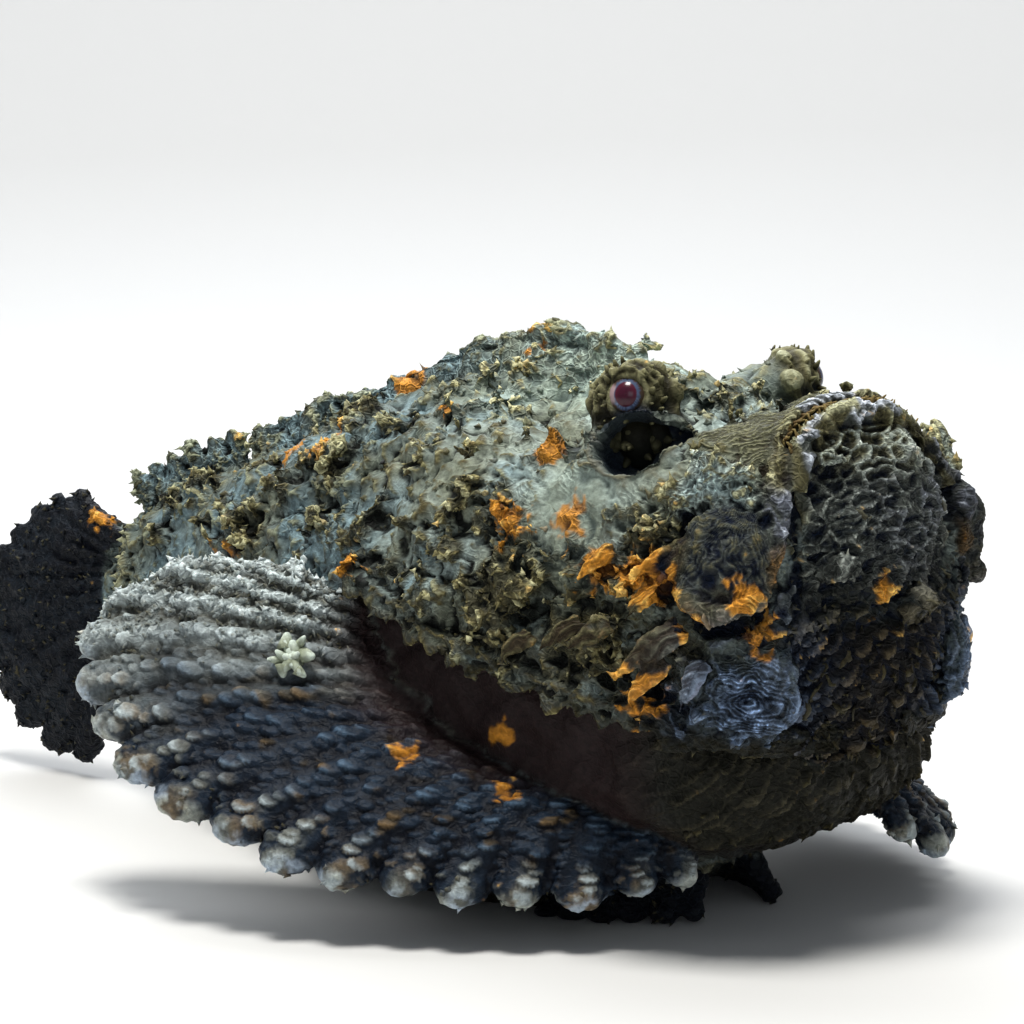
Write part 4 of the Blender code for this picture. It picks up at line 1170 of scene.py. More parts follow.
def regions(points, part, names):
    """How strongly each kind of skin holds at each point."""
    p = beside(points)
    x, y, z = p[:, 0], p[:, 1], p[:, 2]

    def of(*wanted):
        return part_is(part, names, *wanted).astype(float)

    below_edge = step(1.0, -1.5, z - edge_height(x)) * of("trunk") * step(-12.0, 4.0, x)
    swirl = np.maximum(bell(p, SWIRL, 12.0), 0.7 * bell(p, SECOND_SWIRL, 8.0))
    return {
        "pit": bell(p, PIT_BALLS[0][0], 7.5),
        "knob": of("knob"),
        "root": below_edge * step(8.0, 20.0, z) * (1.0 - step(78.0, 92.0, x)),
        "throat": below_edge * step(70.0, 88.0, x),
        "belly": step(14.0, 4.0, z) * of("trunk"),
        "fan": of("fan"),
        "clump": of("clump"),
        "column": of("column"),
        "swirl": swirl * (1.0 - of("trunk")),
        "jaw": step(99.0, 102.0, x) * (1.0 - step(20.0, 23.0, y)) * step(58.0, 74.0, z)
        * of("head", "lower_lip", "jaw"),
        "chin": step(95.0, 100.0, x) * step(80.0, 62.0, z) * step(34.0, 27.0, y) * of("head", "jaw"),
        "snout": step(80.0, 86.0, x) * step(92.0, 98.0, z) * step(32.0, 26.0, y)
        * of("head", "upper_lip"),
        "lip": of("upper_lip", "lower_lip"),
        "turret": of("turret", "lid") * (0.6 + 0.4 * step(-9.0, -4.0, (p - EYE_PLACE) @ EYE_FACING)),
        "flap": of("cheek_flap"),
        "edge": of("gill_edge"),
        "cheek": step(44.0, 52.0, x) * of("head"),
        "lump": of("horn"),
        "dorsal": of("dorsal", "soft_dorsal"),
        "tail": of("caudal", "anal", "pelvic_left", "pelvic_right"),
        "pectoral": of("pectoral_left", "pectoral_right"),
    }


def crust(points):
    """Smooth skin pulled up into broken crests and leaning peaks: the height in millimetres."""
    drift = np.stack([perlin(points, 7.0, seed) for seed in (1, 2, 3)], axis=1) * 1.7
    twist = np.stack([perlin(points, 1.9, seed) for seed in (4, 5, 6)], axis=1) * 0.55
    along = (points @ LONG_WAY)[:, None] * LONG_WAY
    bent = points + drift + twist - 0.38 * along
    near, second, draw = cells(bent, 5.2, 14)
    walls = np.clip(1.0 - (second - near) / 0.30, 0.0, 1.0) ** 1.2
    peaks = np.clip(1.0 - near / 0.46, 0.0, 1.0) ** 1.4 * np.clip(draw - 0.15, 0.0, 1.0)
    broken = step(-0.35, 0.30, perlin(points, 3.6, 17))
    busy = 0.30 + 0.70 * step(-0.15, 0.45, perlin(points, 13.0, 15))
    height = busy * (1.9 * walls * broken + 4.4 * peaks)
    near, second, draw = cells(bent + 0.4 * drift, 2.7, 24)
    walls = np.clip(1.0 - (second - near) / 0.30, 0.0, 1.0) ** 1.1
    peaks = np.clip(1.0 - near / 0.52, 0.0, 1.0) ** 1.2 * (draw > 0.4) * draw
    fine = step(-0.3, 0.4, perlin(points, 5.0, 27))
    broken = step(-0.4, 0.2, perlin(points, 2.0, 28))
    height += busy * (0.35 + 0.65 * fine) * (1.4 * walls * broken + 1.7 * peaks)
    height -= 1.5 * crest(points, 11.0, 29, 2.5)
    height += 1.1 * cloud(points, 7.0, 2, 30)
    return 1.25 * height - 0.8


def rows_of_warts(ray_place, along, rays, length, seed):
    """One row of oval warts on each ray, with a row of smaller ones on each membrane."""
    total = np.zeros(len(along))
    for shift, spacing, half_long, half_wide, tall in (
        (0.0, 3.3, 2.35, 1.90, 1.0), (0.5, 2.7, 1.75, 1.30, 0.7),
    ):
        lane = ray_place * rays + shift
        row = np.floor(lane)
        wide = 4.9 + 6.0 * along
        start = np.stack([row, np.zeros_like(row), np.zeros_like(row)], axis=1).astype(np.int64)
        place = along * length / spacing + (hashed(start, seed) & 255) / 255.0
        for back in (-1, 0, 1):
            item = np.floor(place) + back
            cell = np.stack([row, item, np.full_like(row, shift * 2)], axis=1).astype(np.int64)
            h = hashed(cell, seed + 7)
            nudge = ((h & 255) / 255.0 - 0.5) * 0.5
            size = 0.55 + 0.65 * ((h >> 8) & 255) / 255.0
            aside = ((((h >> 16) & 255) / 255.0) - 0.5) * 0.36
            du = (place - item - 0.5 - nudge) * spacing / (half_long * size)
            dv = (lane - row - 0.5 - aside) * wide / (half_wide * size)
            inside = np.clip(2.5 * (1.0 - du**2 - dv**2), 0.0, 1.0)
            tile = (0.55 + 0.45 * np.clip(du, -1.0, 1.0)) * inside
            total = np.maximum(total, tall * size * tile)
    return total


def skin_relief(points, normals, zone, ray, along):
    """How far each point of the fused skin stands out, in millimetres."""
    p = beside(points)
    calm = np.ones(len(points))
    rough = np.zeros(len(points))
    wanted = np.flatnonzero((zone["pectoral"] < 0.5) | (ray > 0.6))
    rough[wanted] = crust(points[wanted])
    calm *= 1.0 - 0.6 * bell(p, CALM_CHEEK, 15.0)
    for name, kept in CRUST_KEPT.items():
        calm *= 1.0 - (1.0 - kept) * zone[name]
    calm *= 1.0 - 0.15 * zone["lump"]
    height = rough * calm
    phase, lines = fine_lines(points, zone)
    height += zone["jaw"] * (1.3 * nets(points, 2.9, 46) + 1.8 * cloud(points, 9.0, 2, 47))
    height += 0.30 * zone["snout"] * stripes(phase) + 0.8 * zone["clump"] * nets(points, 3.4, 48)
    height += zone["fan"] * (0.30 * stripes(phase) + 1.1 * cloud(points, 5.0, 3, 90))
    height += zone["swirl"] * (0.30 * stripes(phase) + 0.7 * cloud(points, 4.0, 2, 91))
    height += 0.35 * zone["flap"] * stripes(phase / 2.0) + 0.22 * zone["edge"] * stripes(phase / 2.0)
    height += 0.22 * zone["root"] * cloud(points, 5.0, 3, 43)
    height += (3.2 * zone["chin"] + 1.8 * zone["throat"]) * (scales(points) - 0.3)
    fin_height, warts, dots = breast_fin_relief(points, rough, ray, along)
    height += zone["pectoral"] * fin_height
    height += zone["tail"] * 0.35 * dots
    return height, warts, phase, lines


def breast_fin_relief(points, rough, ray, along):
    """Rows of warts, fingers at the margin, small dots on the rim, and a furry rear."""
    warts = rows_of_warts(ray, along, PECTORAL_RAYS, 62.0, 44)
    rim = step(0.80, 0.9, along)
    inner = step(0.06, 0.2, along)
    rear = step(0.72, 0.86, ray)
    near, _, _ = cells(points, 1.9, 45)
    dots = np.sqrt(np.clip(1.0 - (near / 0.5) ** 2, 0.0, 1.0))
    lane = stripes(ray * PECTORAL_RAYS + 0.5, 0.8)
    fingers = step(0.86, 0.94, along + 0.03 * perlin(points, 9.0, 50))
    height = 1.35 * warts * inner * (1.0 - 0.8 * fingers)
    height = height + (0.55 + 0.25 * fingers) * (lane - 0.35) * inner
    height += 0.28 * dots * rim + 0.45 * cloud(points, 3.4, 3, 54) + 0.75 * rough * rear
    return height, warts, dots


def scales(points):
    """Rounded scales that overlap downwards like tiles: high on each lower edge, 0 between them."""
    swerve = perlin(points, 6.0, 71)
    u = (points[:, 1] + 1.2 * swerve) / 4.4
    v = (points[:, 2] + 1.2 * perlin(points, 7.0, 72) + 0.04 * points[:, 1] ** 2 * 0.6) / 3.3
    total = np.zeros(len(points))
    for up in (0, 1, 2):
        row = np.floor(v) + up
        shift = 0.5 * (row % 2)
        for aside in (0, 1):
            column = np.floor(u - shift) + aside
            cell = np.stack([row, column, np.zeros_like(row)], axis=1).astype(np.int64)
            size = 0.75 + 0.45 * (hashed(cell, 73) & 255) / 255.0
            below = row - v
            beside_it = u - shift - column
            inside = 1.0 - (beside_it / (0.60 * size)) ** 2 - (below / (1.25 * size)) ** 2
            high = np.clip(5.0 * inside, 0.0, 1.0) * (0.25 + 0.75 * np.clip(below, 0.0, 1.0)) * size
            total = np.maximum(total, high)
    return total


def nets(points, size, seed):
    """A net of thin crests, longer across the fish than up and down."""
    bent = points + np.stack([perlin(points, 3.0, seed + k) for k in (1, 2, 3)], axis=1) * 0.9
    near, second, _ = cells(bent * (1.0, 0.42, 1.0), size, seed)
    return np.clip(1.0 - (second - near) / 0.30, 0.0, 1.0) ** 1.2 - 0.25


def fine_lines(points, zone):
    """The phase of the fine wrinkles, one to a whole number, and how strong they are."""
    p = beside(points)
    drift = perlin(points, 8.0, 41) + 0.5 * perlin(points, 3.0, 42)
    from_pivot = p - np.asarray(FAN_PIVOT)
    sideways = from_pivot[:, 0] * 0.78 - from_pivot[:, 1] * 0.62
    fan = 12.0 * np.arctan2(sideways, -from_pivot[:, 2] + 4.0)
    from_swirl = p - np.asarray(SWIRL)
    swirl = np.linalg.norm(from_swirl * (0.62, 0.62, 1.35), axis=1) / 1.25
    swirl = swirl + 1.3 * perlin(points, 5.0, 55)
    sets = (
        ("cheek", (p[:, 2] + 0.55 * p[:, 0]) / 1.2, 0.30 * step(-0.1, 0.3, perlin(points, 9.0, 49))),
        ("jaw", (p[:, 2] + 0.03 * (p[:, 1] - 3.0) ** 2) / 1.25, 0.35),
        ("chin", p[:, 2] / 1.3, 0.25),
        ("snout", (p[:, 0] + 0.5 * p[:, 1] - 0.4 * p[:, 2]) / 1.5, 0.75),
        ("clump", (p[:, 0] - 0.5 * p[:, 2]) / 1.3, 0.5),
        ("column", p[:, 2] / 1.2, 0.35),
        ("throat", (p[:, 0] + 0.4 * p[:, 2]) / 1.8, 0.35),
        ("edge", (p[:, 0] + 0.9 * p[:, 2]) / 1.1, 0.45 * step(-0.2, 0.3, perlin(points, 6.0, 56))),
        ("flap", (p[:, 0] - 1.1 * p[:, 2]) / 1.5 + 1.2 * drift, 0.35),
        ("swirl", swirl + 0.8 * drift, 0.9),
        ("fan", 0.9 * fan + 2.2 * drift, 0.45),
    )
    phase, lines = np.zeros(len(points)), np.zeros(len(points))
    for name, value, strength in sets:
        phase = np.where(zone[name] > 0.4, value, phase)
        lines = np.where(zone[name] > 0.4, strength * step(0.4, 0.8, zone[name]), lines)
    return phase + 1.5 * drift, lines


def net_strength(zone, ray, along, points):
    """How strongly the fine net of crests shows."""
    net = 0.06 + 0.26 * step(-0.1, 0.5, perlin(points, 10.0, 58))
    net = net + 0.35 * step(86.0, 62.0, points[:, 2]) * step(20.0, 40.0, points[:, 0])
    net *= 1.0 - 0.85 * bell(beside(points), CALM_CHEEK, 16.0)
    for name, share in NET_SHARES.items():
        net = net * (1.0 - zone[name]) + share * zone[name]
    fin = 0.10 + 0.4 * step(0.7, 0.85, ray)
    return net * (1.0 - zone["pectoral"]) + fin * zone["pectoral"]


def dress_relief(points, faces, part, ray, along, names):
    """Raises the fine relief, keeps the resting flats level, and tells the height and the zones."""
    edges = edges_of(faces)
    points = smoothed(points, edges, 2)
    normals = normals_of(points, faces)
    painted_shade = carved(points, normals, beside(points), part, names)
    points = smoothed(points, edges, 2)
    normals = normals_of(smoothed(points, edges, 2), faces)
    zone = regions(points, part, names)
    for name in zone:
        zone[name] = smoothed(zone[name], edges, 3)
    height, warts, phase, lines = skin_relief(points, normals, zone, ray, along)
    eyes = sum(bell(points, on_side(EYE_PLACE, side) + 3.0 * on_side(EYE_FACING, side), 3.4)
               for _, side in SIDES)
    resting = step(3.0, 1.0, points[:, 2])
    height = height * (1.0 - eyes.clip(0.0, 1.0)) * (1.0 - resting)
    hang = PEAK_LEAN - normals * (normals @ PEAK_LEAN)[:, None]
    leaning = 0.35 * np.clip(height - 0.2, 0.0, 3.0) * (1.0 - zone["pectoral"])
    made = points + normals * height[:, None] + hang * leaning[:, None]
    made = sagged(made)
    made[:, 2] = made[:, 2].clip(min=0.0)
    return made, edges, zone, height, warts, painted_shade, phase, lines


def standing_out(points, faces, edges):
    """How far each point stands proud of the skin round it, in millimetres, close by and further off."""
    normals = normals_of(points, faces)
    near = smoothed(points, edges, 12)
    far = smoothed(near, edges, 60)
    return ((points - near) * normals).sum(axis=1), ((near - far) * normals).sum(axis=1)


# Colours


def ladder(lift, *colours):
    """A colour for each lift from 0 to 1, through the given colours in turn."""
    at = np.clip(lift, 0.0, 1.0) * (len(colours) - 1)
    total = np.zeros((len(at), 3))
    for k, colour in enumerate(colours):
        total += np.clip(1.0 - np.abs(at - k), 0.0, 1.0)[:, None] * np.asarray(colour)
    return total


def body_colour(p, lift, light, patch, lump):
    """Pale smooth skin, dark flanks and yellow crests, greyer on the back, pale on the cheek; painted
    shade in the hollows, on the lower cheek and on the lower front, and painted light on the nape at the
    top of the head.
    """
    x, z = p[:, 0], p[:, 2]
    valley = blend(VALLEY, VALLEY_LIGHT, light)
    skin = ladder(lift, HOLLOW_SHADE, valley, valley, FLANK, CREST, MOSS_TIP)
    valley = blend(BACK, BACK_LIGHT, light)
    back = ladder(lift, HOLLOW_SHADE, valley, valley, BACK_FLANK, BACK_TIP, BACK_TIP)
    colour = blend(skin, back, (0.25 + 0.8 * patch + 0.6 * step(40.0, -20.0, x)).clip(0.0, 1.0))
    # Painted shade: the lower cheek and flank darker, as under a light from above.
    low = step(88.0, 58.0, z + 4.0 * patch) * step(20.0, 40.0, x)
    colour = darker(colour, 0.40 * low)
    lumps = ladder(lift, HOLLOW_SHADE, FLANK_DARK, FLANK_DARK, FLANK, CREST, MOSS_TIP)
    colour = blend(colour, lumps, 0.85 * lump.clip(0.0, 1.0))
    # Painted shade on the lower front, under the head.
    front_underside_shade = step(64.0, 50.0, z) * step(72.0, 86.0, x)
    colour = darker(colour, 0.65 * front_underside_shade)
    # Painted light: the nape at the top of the head made paler, as lit from above.
    nape = step(98.0, 104.0, z) * bell(p, NAPE, 26.0)
    smooth_skin = step(0.75, 0.45, lift)
    colour = colour * (1.0 + 0.5 * nape)[:, None]
    colour = blend(colour, 1.2 * np.array(CALM), 0.6 * nape * smooth_skin)
    return blend(colour, CALM, 0.55 * bell(p, CALM_CHEEK, 12.0) * smooth_skin)


def jaw_colour(points, lift, patch, speck):
    """The netted jaw: painted shade below, olive above, with one lilac place."""
    z = points[:, 2]
    # Painted shade on the lower jaw.
    jaw = darker(ladder(lift, INK, JAW, JAW, JAW_TIP), 0.45 * step(84.0, 72.0, z))
    lilac_spot = bell(points, LILAC_SPOT, 10.0) * step(-0.6, 0.3, patch + 0.6 * speck)
    jaw = blend(jaw, ladder(lift, INK, JAW, LILAC, LILAC_TIP), lilac_spot)
    return blend(jaw, ladder(lift, HOLLOW_SHADE, OLIVE, VALLEY_LIGHT, JAW_TIP), 0.8 * step(90.0, 100.0, z))


def region_colours(points, lift, patch, speck):
    """Each region's own colours, in the order that they are laid on."""
    x, y, z = points.T
    speckled = z + 1.5 * speck
    column = blend(ladder(lift, INK, JAW, LILAC, LILAC_TIP), ladder(lift, BROWN, OLIVE, MOSS_TIP),
                   step(90.0, 95.0, speckled))
    column = blend(column, ladder(lift, BROWN, BROWN_TIP, ORANGE), step(83.0, 79.0, speckled))
    fan = ladder(lift, INK, INK, JAW, OLIVE, BROWN_TIP)
    fan = blend(fan, ladder(lift, BROWN, OLIVE, BROWN_TIP), 0.7 * step(75.0, 69.0, z + 2.0 * speck))
    lips = blend(ladder(lift, HOLLOW_SHADE, OLIVE, OLIVE, SNOUT_TIP), ladder(lift, INK, JAW, JAW, LILAC_TIP),
                 step(0.45, 0.6, perlin(points, 7.0, 60) + 0.5))
    edge = ladder(lift, HOLLOW_SHADE, FLANK_DARK, JAW, FLANK, CREST)
    edge = darker(edge, 0.7 * step(78.0, 88.0, x))
    # Painted shade: the turret darker below the eye, on its underside.
    turret = blend(ladder(lift, HOLLOW_SHADE, TURRET, TURRET_TIP, TURRET_TIP), 0.4 * np.array(TURRET),
                   step(106.0, 101.0, z))
    far_turret = ladder(lift, HOLLOW_SHADE, OLIVE, VALLEY_LIGHT) * (0.7 * step(8.0, 16.0, y))[:, None]
    return (
        ("snout", ladder(lift, BROWN, SNOUT, SNOUT, SNOUT_TIP)),
        ("jaw", jaw_colour(points, lift, patch, speck)),
        ("chin", ladder(lift, INK, CHIN_IN_SHADE, CHIN_IN_SHADE, CHIN_TIP_IN_SHADE)),
        ("lip", lips),
        ("fan", fan),
        ("column", column),
        ("knob", ladder(lift, INK, INK, JAW, LILAC)),
        ("flap", ladder(lift, HOLLOW_SHADE, BROWN, BROWN, OLIVE, BROWN_TIP)),
        ("swirl", ladder(lift, INK, INK, 0.3 * np.array(INK_TIP), INK_TIP, INK_TIP)),
        ("edge", edge),
        ("root", ladder(lift, FIN_ROOT_IN_SHADE, FIN_ROOT_IN_SHADE, FIN_ROOT_TIP_IN_SHADE)),
        ("throat", ladder(lift, THROAT_IN_SHADE, THROAT_IN_SHADE, THROAT_TIP_IN_SHADE)),
        ("belly", ladder(lift, THROAT_IN_SHADE, THROAT_TIP_IN_SHADE)),
        ("turret", turret + far_turret),
        # The pit: near black, painted shade of its deep recess.
        ("pit", ladder(lift, INK, INK, INK_TIP)),
    )


def breast_fin_colour(points, lift, patch, speck, ray, along, warts):
    """Blue-black with paler warts, brown at the root, rusty at the margin, furry and grey behind."""
    rim = step(0.69, 0.89, along + 0.08 * patch + 0.05 * speck)
    end = step(0.93, 0.985, along + 0.03 * speck)
    rear = step(0.60, 0.84, ray + 0.05 * patch)
    rootward = step(0.34, 0.12, along)
    lane = stripes(ray * PECTORAL_RAYS + 0.5, 0.8)
    fin = ladder(0.2 * lane + 0.8 * warts + 0.12 * speck, FIN_HOLLOW_SHADE, FIN_MIDDLE, FIN_MIDDLE, FIN_WART)
    brown = step(0.62, 0.80, perlin(points, 6.0, 57) + 0.4)
    fin = blend(fin, ladder(warts, FIN_HOLLOW_SHADE, BROWN, BROWN_TIP), brown)
    fin = blend(fin, ladder(lift, FIN_ROOT_IN_SHADE, FIN_ROOT_IN_SHADE, FIN_ROOT_TIP_IN_SHADE), rootward)
    mottled = step(-0.5, 0.6, cloud(points, 5.0, 3, 59))
    rust = 0.7 * step(0.1, 0.7, perlin(points, 8.0, 92) + 0.3)
    rusty = blend(FIN_EDGE, BROWN_TIP, rust)
    standing = 0.45 * lane + 0.35 * warts + 0.45 * lift
    fin = blend(fin, ladder(standing, FIN_HOLLOW_SHADE, FIN_HOLLOW_SHADE, FIN_MIDDLE, rusty, FIN_EDGE_TIP), rim)
    green = 0.6 * step(-0.2, 0.3, perlin(points, 11.0, 93))
    green_end = blend(FIN_END, MOSS_TIP, green)
    fin = blend(fin, 0.85 * green_end, 0.85 * end * np.sqrt(lane) * step(0.1, 0.5, mottled))
    furry = ladder(0.18 + 0.3 * lane + 0.6 * lift, HOLLOW_SHADE, FIN_EDGE, FIN_REAR, FIN_REAR_TIP)
    return blend(fin, furry, rear * step(0.1, 0.3, along))


def orange_share(points, lift):
    """How orange each point is: ragged patches that keep to what stands out."""
    share = np.zeros(len(points))
    for px, py, pz, radius, strength in ORANGE_PATCHES:
        share = np.maximum(share, strength * bell(points, (px, py, pz), radius))
    return step(0.38, 0.54, share + 0.30 * cloud(points, 3.4, 3, 53) + 0.45 * (lift - 0.4))


def paint(points, lift, zone, ray, along, warts, painted_shade):
    """The skin's colour: the body's, then the regions', the fins', the orange patches', the painted
    shade in the gaps, and painted shade on the far side of the mouth.
    """
    p = beside(points)
    patch = cloud(points, 16.0, 3, 51)
    speck = cloud(points, 2.6, 2, 52)
    lift = (lift + 0.07 * speck).clip(0.0, 1.0)
    lift = lift - (lift - 0.42).clip(min=0.0) * bell(p, PIT_BALLS[0][0], 12.0)
    light = step(-0.5, 0.6, patch)
    colour = body_colour(p, lift, light, patch, zone["lump"])
    for name, tone in region_colours(points, lift, patch, speck):
        colour = blend(colour, tone, zone[name].clip(0.0, 1.0))
    fin = breast_fin_colour(points, lift, patch, speck, ray, along, warts)
    colour = blend(colour, fin, zone["pectoral"].clip(0.0, 1.0))
    tail = ladder(0.6 * lift + 0.3 * light, TAIL, TAIL, TAIL_TIP)
    colour = blend(colour, tail, (0.97 * zone["tail"]).clip(0.0, 1.0))
    ginger = orange_share(points, lift)
    colour = blend(colour, ladder(lift, ORANGE_DEEP, ORANGE, ORANGE, ORANGE_TIP), 0.9 * ginger)
    # Painted shade laid in the mouth's gap, the fan's crescent, the pits and under the turrets.
    colour = blend(colour, INK, (0.92 * painted_shade * (1.0 - 0.7 * ginger)).clip(0.0, 1.0))
    # Painted shade: the mouth's column, knobs, fan and lips darker on the far side.
    far_lip = zone["column"] + zone["knob"] + zone["fan"] + zone["lip"]
    on_far_side = step(8.0, 16.0, points[:, 1])
    return darker(colour, 0.5 * far_lip.clip(0.0, 1.0) * on_far_side).clip(0.0, 1.0)


def colour_layer(mesh, colour):
    """Keeps a colour at each point of the mesh."""
    layer = mesh.color_attributes.new("Paint", "FLOAT_COLOR", "POINT")
    values = np.ones((len(colour), 4), np.float32)
    values[:, :3] = colour
    layer.data.foreach_set("color", values.ravel())


def value_layer(mesh, name, values):
    """Keeps a number at each point of the mesh."""
    layer = mesh.attributes.new(name, "FLOAT", "POINT")
    layer.data.foreach_set("value", np.asarray(values, np.float32))


# The coat: ragged frills, flakes and papillae that stand on the skin


class Skin:
    """The finished skin, for what is rooted on it."""

    def __init__(self, points, faces, part, ray, along, zone, height, colour, names):
        self.points, self.faces, self.part = points, faces, part
        self.ray, self.along, self.zone, self.height, self.colour = ray, along, zone, height, colour
        self.names = names
        self.normals = normals_of(points, faces)
        self.tree = KDTree(len(points))
        for k, point in enumerate(points):
            self.tree.insert(point, k)
        self.tree.balance()

    def nearest(self, places):
        """The index of the skin's point nearest to each place."""
        return np.array([self.tree.find(place)[1] for place in places])

    def scatter(self, density, count, seed):
        """Points of the skin drawn at random, as densely as density says."""
        draw = np.random.default_rng(seed)
        weight = area_of_points(self.points, self.faces) * density
        crowded = np.count_nonzero(weight) < count
        return draw.choice(len(self.points), count, replace=crowded, p=weight / weight.sum())

    def unwrapped(self, index):
        """Where points of the skin lie on a flat unwrap of its own shape, from 0 to 1 each way."""
        points, part = self.points[index], self.part[index]
        turn = np.arctan2(points[:, 1], points[:, 2] - 52.0) / (2 * np.pi) + 0.5
        u, v = 0.02 + 0.60 * turn, 0.02 + 0.94 * (points[:, 0] + 170.0) / 290.0
        fins = [k for k, name in enumerate(self.names) if is_fin(name)]
        for row, fin in enumerate(fins):
            here = part == fin
            u = np.where(here, 0.65 + 0.33 * self.along[index], u)
            low = row / len(fins)
            v = np.where(here, low + (0.02 + 0.94 * self.ray[index]) / len(fins), v)
        return np.stack([u, v], axis=1).clip(0.0, 0.996)


PATCH = 0.003  # how wide one tuft is on the unwrap


def tufts(name, skin, roots, rings, colour, across):
    """One mesh of many closed shapes alike, shape (tufts, rows, ring, 3), each with its patch.

    The colour's shape is the same, or has 1 in place of the ring.
    """
    count, rows, wide, _ = rings.shape
    rings[..., 2] = rings[..., 2].clip(min=0.0)
    flat = rings.reshape(count, rows * wide, 3)
    ends = np.stack([rings[:, 0].mean(axis=1), rings[:, -1].mean(axis=1)], axis=1)
    points = np.concatenate([flat, ends], axis=1)
    each = points.shape[1]
    first = cap(np.arange(wide), rows * wide, False)
    last = cap(np.arange((rows - 1) * wide, rows * wide), rows * wide + 1, True)
    one = np.concatenate([grid_triangles(rows, wide, True), first, last])
    triangles = (one[None] + np.arange(count)[:, None, None] * each).reshape(-1, 3)
    tint = np.broadcast_to(colour, rings.shape).reshape(count, rows * wide, 3)
    tint = np.concatenate([tint, tint[:, :1], tint[:, -1:]], axis=1).reshape(-1, 3)
    obj = mesh_of(name, points.reshape(-1, 3), triangles)
    colour_layer(obj.data, tint)
    value_layer(obj.data, "Wet", np.full(len(tint), 0.35))
    s = np.repeat(np.linspace(0.0, 1.0, rows), wide)
    w = np.tile(across, rows)
    patch = PATCH * np.concatenate([np.stack([w, s], axis=1), [[0.5, 0.0], [0.5, 1.0]]])
    places = (skin.unwrapped(roots)[:, None] + patch[None]).reshape(-1, 2)
    order = np.empty(len(obj.data.loops), np.int32)
    obj.data.loops.foreach_get("vertex_index", order)
    layer = obj.data.uv_layers.new(name="OFBake")
    layer.data.foreach_set("uv", places[order].astype(np.float32).ravel())
    smooth(obj)
    return obj


def tip_colour(colour, draw):
    """A yellower tone of the skin that a tuft grows from."""
    tone = blend(colour * 1.15, CREST, 0.20)
    return (tone * draw.uniform(0.6, 1.2, len(colour))[:, None]).clip(0.0, 0.9)


def flank_colour(colour):
    """A darker, browner tone of the skin that a tuft grows from."""
    return blend(colour * 0.7, FLANK, 0.45)


LEAN = np.array((-0.55, 0.0, -0.12))


def walks(skin, roots, steps, long, draw):
    """Short walks over the skin that keep to its ridges, and the way that the skin faces on them."""
    count = len(roots)
    heading = LONG_WAY + draw.normal(0.0, 0.55, (count, 3))
    stride = draw.uniform(*long, count) / steps
    places = np.empty((count, steps, 3))
    normals = np.empty((count, steps, 3))
    at = roots.copy()
    for k in range(steps):
        places[:, k], normals[:, k] = skin.points[at], skin.normals[at]
        heading = unit(heading - normals[:, k] * (heading * normals[:, k]).sum(axis=1, keepdims=True))
        aside = np.cross(normals[:, k], heading)
        best, best_height = at, np.full(count, -FAR)
        for swerve in (-0.5, 0.0, 0.5):
            target = places[:, k] + (heading + aside * swerve) * stride[:, None]
            found = skin.nearest(target)
            better = skin.height[found] > best_height
            best_height = np.where(better, skin.height[found], best_height)
            best = np.where(better, found, best)
        heading = heading + 0.5 * draw.normal(0.0, 1.0, (count, 3)) * 0.5
        at = best
    middle = places.copy()
    middle[:, 1:-1] = (places[:, :-2] + 2 * places[:, 1:-1] + places[:, 2:]) / 4.0
    return middle, normals


def frills(name, skin, density, count, seed, tall, long, thick):
    """Ragged crests that creep along the skin's ridges, leaning back, with a torn upper edge."""
    steps = 8
    draw = np.random.default_rng(seed)
    roots = skin.scatter(density, count, seed)
    middle, normals = walks(skin, roots, steps, long, draw)
    side_ways = np.gradient(middle, axis=1)
    side_ways /= np.maximum(np.linalg.norm(side_ways, axis=2, keepdims=True), 1e-6)
    over = np.cross(side_ways, normals)
    up = unit(normals + LEAN * 0.9 + 0.25 * draw.normal(0.0, 1.0, (count, 1, 3)))
    s = np.linspace(0.0, 1.0, steps)
    arch = np.sin(np.pi * (0.06 + 0.88 * s)) ** 0.6
    torn = draw.uniform(0.35, 1.25, (count, steps))
    rise = draw.uniform(*tall, count)[:, None] * arch[None] * torn
    half = thick * (0.35 + 0.65 * arch)[None, :, None]
    sink = 0.5
    rings = np.stack([
        middle - up * sink - over * half,
        middle + up * (rise * 0.55)[..., None] - over * half * 0.55,
        middle + up * rise[..., None],
        middle + up * (rise * 0.55)[..., None] + over * half * 0.55,
        middle - up * sink + over * half,
    ], axis=2)
    light = tip_colour(skin.colour[roots], draw)
    base = flank_colour(skin.colour[roots])
    crestwise = np.array((0.0, 0.45, 1.0, 0.45, 0.0))[:, None]
    colour = base[:, None, None] * (1 - crestwise) + light[:, None, None] * crestwise
    return tufts(name, skin, roots, rings, colour, (0.0, 0.5, 1.0, 0.5, 0.0))


